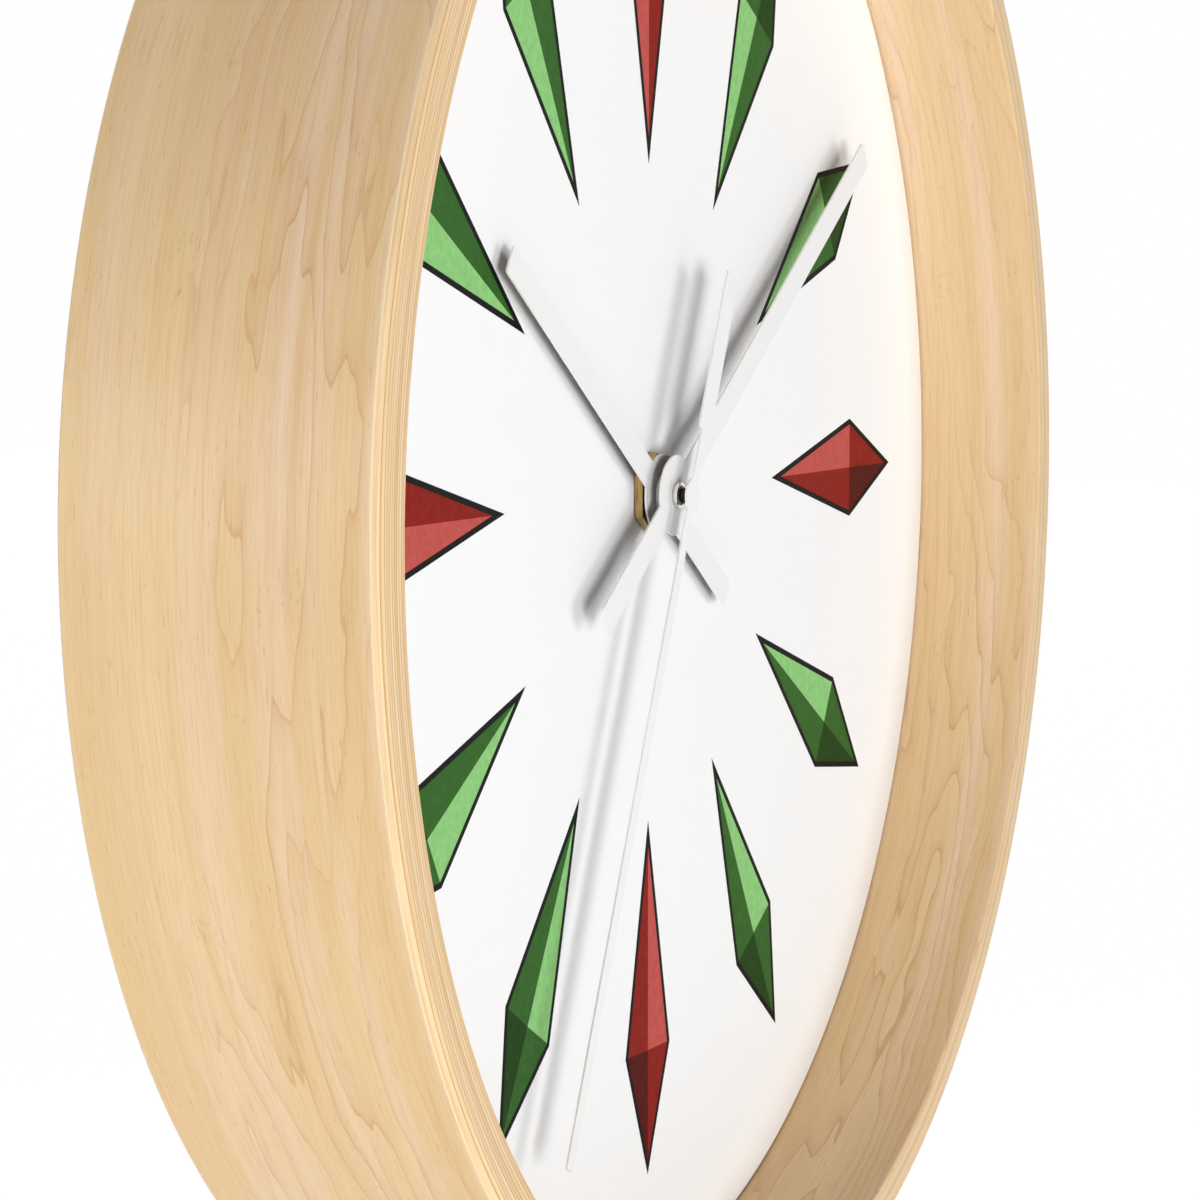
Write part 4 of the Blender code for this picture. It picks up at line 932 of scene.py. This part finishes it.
# Minute hand and collet
# The same stamping, longer, held on the minute tube by a turned collet behind it and by the
# chrome nut in front.
MINUTE_BEARING = math.radians(56.35)
MINUTE_TIP = 94.3 * MM
MINUTE_TAIL = 30.4 * MM
MINUTE_WIDTH = 4.5 * MM
MINUTE_HUB = 6.0 * MM
MINUTE_HOLE = 1.45 * MM
COLLET_BORE = 1.8 * MM
COLLET_EDGE = 0.3 * MM
TURNED_STEPS = 64
minute_hand = stamp_hand("minute_pointer", "minute_hand", MINUTE_BEARING, MINUTE_HUB,
                         [(-MINUTE_TAIL, MINUTE_TIP, MINUTE_WIDTH)], MINUTE_HOLE)
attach(minute_hand, "minute")
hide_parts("minute_hand")
collet_low, collet_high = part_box("minute_collet")
collet = open_section("turned_collet", DIAL_AXIS, COLLET_BORE, collet_high.x,
                      collet_low.y, collet_high.y)
round_corners(collet, COLLET_EDGE, lambda at: at.x > COLLET_BORE + WELD, CORNER_STEPS)
spin_section(DIAL_AXIS, TURNED_STEPS)
close_piece(collet, hand_paint)
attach(collet, "minute")
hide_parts("minute_collet")

# Hand nut
# A small open nut of polished chrome on the thread at the end of the minute tube. Its mouth and
# its rim are polished round.
NUT_BORE = 1.45 * MM
NUT_ROUND = 0.22 * MM
hand_nut_low, hand_nut_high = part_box("hand_nut")
chrome = clouded_finish("polished_chrome", {"Metallic": 1.0}, "D6D6D3", "ECEAE4",
                        cloud=(900.0, 3.0), rough=(0.06, 0.14))
hand_nut = open_section("chrome_nut", DIAL_AXIS, NUT_BORE, hand_nut_high.x,
                        hand_nut_low.y, hand_nut_high.y)
round_corners(hand_nut, NUT_ROUND, lambda at: at.y < hand_nut_low.y + WELD, CORNER_STEPS)
spin_section(DIAL_AXIS, TURNED_STEPS)
close_piece(hand_nut, chrome)
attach(hand_nut, "minute")
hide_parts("hand_nut")

# Second hand and pipe
# A thin painted pointer with a broad counterweight, riveted to a small pipe of blued steel that
# is pushed onto the second arbor.
SECOND_BEARING = math.radians(205.2)
SECOND_TIP = 102.2 * MM
SECOND_WIDTH = 2.2 * MM
SECOND_HUB = 2.5 * MM
PADDLE_START = 10.3 * MM
PADDLE_END = 35.9 * MM
PADDLE_WIDTH = 4.43 * MM
PADDLE_LAP = 1.0 * MM
PIPE_BORE = 0.7 * MM
PIPE_EDGE = 0.12 * MM
PIPE_STEPS = 48
second_hand = stamp_hand("second_pointer", "second_hand", SECOND_BEARING, SECOND_HUB,
                         [(-PADDLE_START - PADDLE_LAP, SECOND_TIP, SECOND_WIDTH),
                          (-PADDLE_END, -PADDLE_START, PADDLE_WIDTH)], steps=PIPE_STEPS)
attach(second_hand, "second")
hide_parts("second_hand")
pipe_low, pipe_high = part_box("second_pipe")
blued_steel = clouded_finish("blued_steel", {"Metallic": 0.8}, "1B1C1F", "3A3B3E",
                             cloud=((500.0, 2600.0, 500.0), 3.0), rough=(0.32, 0.48))
pipe = open_section("second_hand_pipe", DIAL_AXIS, PIPE_BORE, pipe_high.x, pipe_low.y, pipe_high.y)
round_corners(pipe, PIPE_EDGE, lambda at: at.x > PIPE_BORE + WELD, EDGE_STEPS)
spin_section(DIAL_AXIS, PIPE_STEPS)
close_piece(pipe, blued_steel)
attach(pipe, "second")
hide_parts("second_pipe")

# Gear train
# Wheels and pinions moulded in natural acetal, running in the case floor and the lid. The fine
# cloudiness is the resin's own.
RESIN_GLOW = 0.5 * MM
acetal = clouded_finish("natural_acetal", {"Subsurface Weight": 0.15, "Subsurface Scale": RESIN_GLOW},
                        "DEDBCF", "EEECE4", cloud=(350.0, 3.0), rough=(0.34, 0.46))
for wheel in ("hour_wheel", "minute_wheel", "second_wheel", "third_wheel", "motion_wheel",
              "intermediate_wheel", "rotor_pinion"):
    dress_node(wheel, acetal)

# Stepping motor
# A stator and core stamped from soft iron, a ferrite rotor magnet, and a coil of enamelled
# copper wire wound on a moulded bobbin.
WIRE = 0.16 * MM
soft_iron = zinc_finish("soft_iron", "8D8E91", 2800.0)
ferrite = clouded_finish("sintered_ferrite", {"Metallic": 0.4, "Roughness": 0.58}, "3A3A3C", "6A6A6C",
                         cloud=(1800.0,))
enamelled_copper = new_finish("enamelled_copper", {"Metallic": 1.0, "Coat Weight": 0.5})
wire_along = axes(enamelled_copper, own_place(enamelled_copper))["X"]
wire_turns = ridges(enamelled_copper, wire_along, WIRE)
# Painted shade and highlight: the copper is darker in the grooves between turns and lighter on their
# crests.
feed_shader(enamelled_copper, {
    "Base Color": mix(enamelled_copper, wire_turns, tint("8A4A22"), tint("C77B46")),
    "Roughness": fade(enamelled_copper, wire_turns, 0.0, 1.0, 0.42, 0.26),
    "Normal": relief(enamelled_copper, wire_turns, WIRE / 2),
})
for stamping in ("stator", "coil_core"):
    dress_node(stamping, soft_iron)
dress_node("rotor_magnet", ferrite)
dress_node("coil_bobbin", acetal)
dress_node("coil_winding", enamelled_copper)

# Circuit
# A green lacquered board with copper tracks under the lacquer, the chip under a drop of black
# resin, and a tuning-fork crystal in a steel can.
TRACK_DEPTH = 0.03 * MM
lacquer = new_finish("green_lacquer", {"Specular IOR Level": 0.5})
track_field = noise(lacquer, own_place(lacquer), 260.0, 0.0)
on_track = fade(lacquer, reckon(lacquer, "PINGPONG", track_field, 0.08), 0.045, 0.050)
feed_shader(lacquer, {
    "Base Color": mix(lacquer, on_track, tint("1F5B38"), tint("3C8450")),
    "Roughness": fade(lacquer, on_track, 0.0, 1.0, 0.36, 0.28),
    "Normal": relief(lacquer, on_track, TRACK_DEPTH),
})
dress_node("circuit_board", lacquer)
dress_node("chip", moulded_black("chip_resin", "101011", 900.0))
dress_node("quartz_crystal", nickel)

# Studio
# A pale floor well below the clock, a white surround, two soft boxes before the dial, a broad one
# to its left and another above and behind it to the right.
FLOOR_DROP = 0.75
FLOOR_SIZE = 30.0
FLOOR_GLOW = 1.3
FLOOR_SHARE = 0.75
AMBIENT = 0.05
WHITE = (1.0, 1.0, 1.0, 1.0)
BOX_DISTANCE = 1.35
BOX_SIZE = (0.57, 0.55)
BOX_RISE = -0.12
LEFT_SWING = -36.0
LEFT_POWER = 11.6
RIGHT_SWING = 13.0
RIGHT_POWER = 4.9
SIDE_AT = Vector((-1.6, 0.25, 0.14))
SIDE_SIZE = (1.4, 0.5)
SIDE_POWER = 10.4
REAR_AT = Vector((0.9, 1.1, 1.4))
REAR_SIZE = (1.0, 1.0)
REAR_POWER = 42.0


def white_to_camera(surround):
    """Share of 1 for rays that look straight, or by a mirror or glass, at the surround."""
    rays = add_node(surround, "ShaderNodeLightPath", {}).outputs
    share = reckon(surround, "MAXIMUM", rays["Is Camera Ray"], rays["Is Glossy Ray"])
    return reckon(surround, "MAXIMUM", share, rays["Is Transmission Ray"])


def show_as(surround, share, lights, shows, output):
    """Let a surround light the clock by one shader and show itself by another, by this share."""
    choice = add_node(surround, "ShaderNodeMixShader",
                      {0: share, 1: lights.outputs[0], 2: shows.outputs[0]})
    feed(surround, surround.node_tree.nodes[output], {"Surface": choice.outputs[0]})


world = bpy.data.worlds.new("white_surround")
bpy.context.scene.world = world
world.use_nodes = True
ambient = world.node_tree.nodes["Background"]
feed(world, ambient, {"Color": WHITE, "Strength": AMBIENT})
backdrop = add_node(world, "ShaderNodeBackground", {"Color": WHITE})
show_as(world, white_to_camera(world), ambient, backdrop, "World Output")

floor = open_piece("pale_floor", bpy.ops.mesh.primitive_plane_add, size=FLOOR_SIZE,
                   location=(0.0, 0.0, hoop_low.z - FLOOR_DROP))
floor_white = new_finish("floor_white", {"Base Color": tint("F2F2F1"), "Roughness": 0.9})
floor_paint = floor_white.node_tree.nodes["Principled BSDF"]
floor_glow = add_node(floor_white, "ShaderNodeEmission", {"Color": WHITE, "Strength": FLOOR_GLOW})
floor_share = reckon(floor_white, "MULTIPLY", white_to_camera(floor_white), FLOOR_SHARE)
show_as(floor_white, floor_share, floor_paint, floor_glow, "Material Output")
close_piece(floor, floor_white)


def soft_box(name, at, size, power, mirrored=True):
    """Area lamp turned to the dial's middle, which lacquer and metal may mirror or not."""
    lamp = bpy.data.lights.new(name, "AREA")
    lamp.shape = "RECTANGLE"
    lamp.size, lamp.size_y = size
    lamp.energy = power
    holder = bpy.data.objects.new(name, lamp)
    holder.location = at
    holder.rotation_euler = (DIAL_AXIS - at).to_track_quat("-Z", "Y").to_euler()
    holder.visible_glossy = mirrored
    bpy.context.scene.collection.objects.link(holder)


for name, swing, power in (("left_box", LEFT_SWING, LEFT_POWER), ("right_box", RIGHT_SWING, RIGHT_POWER)):
    away = Vector((math.sin(math.radians(swing)), -math.cos(math.radians(swing)), BOX_RISE))
    soft_box(name, DIAL_AXIS + away * BOX_DISTANCE, BOX_SIZE, power, mirrored=False)
soft_box("side_box", DIAL_AXIS + SIDE_AT, SIDE_SIZE, SIDE_POWER)
soft_box("rear_box", DIAL_AXIS + REAR_AT, REAR_SIZE, REAR_POWER)

# Camera
# It stands to the left of the clock, a little below the height of its nail, and looks across the
# dial at about 65 degrees.
CAMERA_AT = Vector((-0.52704, -0.25513, -0.07032))
CAMERA_AIM = Vector((0.906386, 0.413337, -0.087279))
CAMERA_LENS = 116.11
CAMERA_SENSOR = 36.0
CAMERA_NEAR = 0.01
view = bpy.data.cameras.new("photo_view")
view.lens = CAMERA_LENS
view.sensor_width = CAMERA_SENSOR
view.clip_start = CAMERA_NEAR
camera = bpy.data.objects.new("photo_view", view)
camera.location = CAMERA_AT
camera.rotation_euler = CAMERA_AIM.to_track_quat("-Z", "Y").to_euler()
bpy.context.scene.collection.objects.link(camera)
bpy.context.scene.camera = camera
bpy.context.scene.view_settings.view_transform = "Standard"
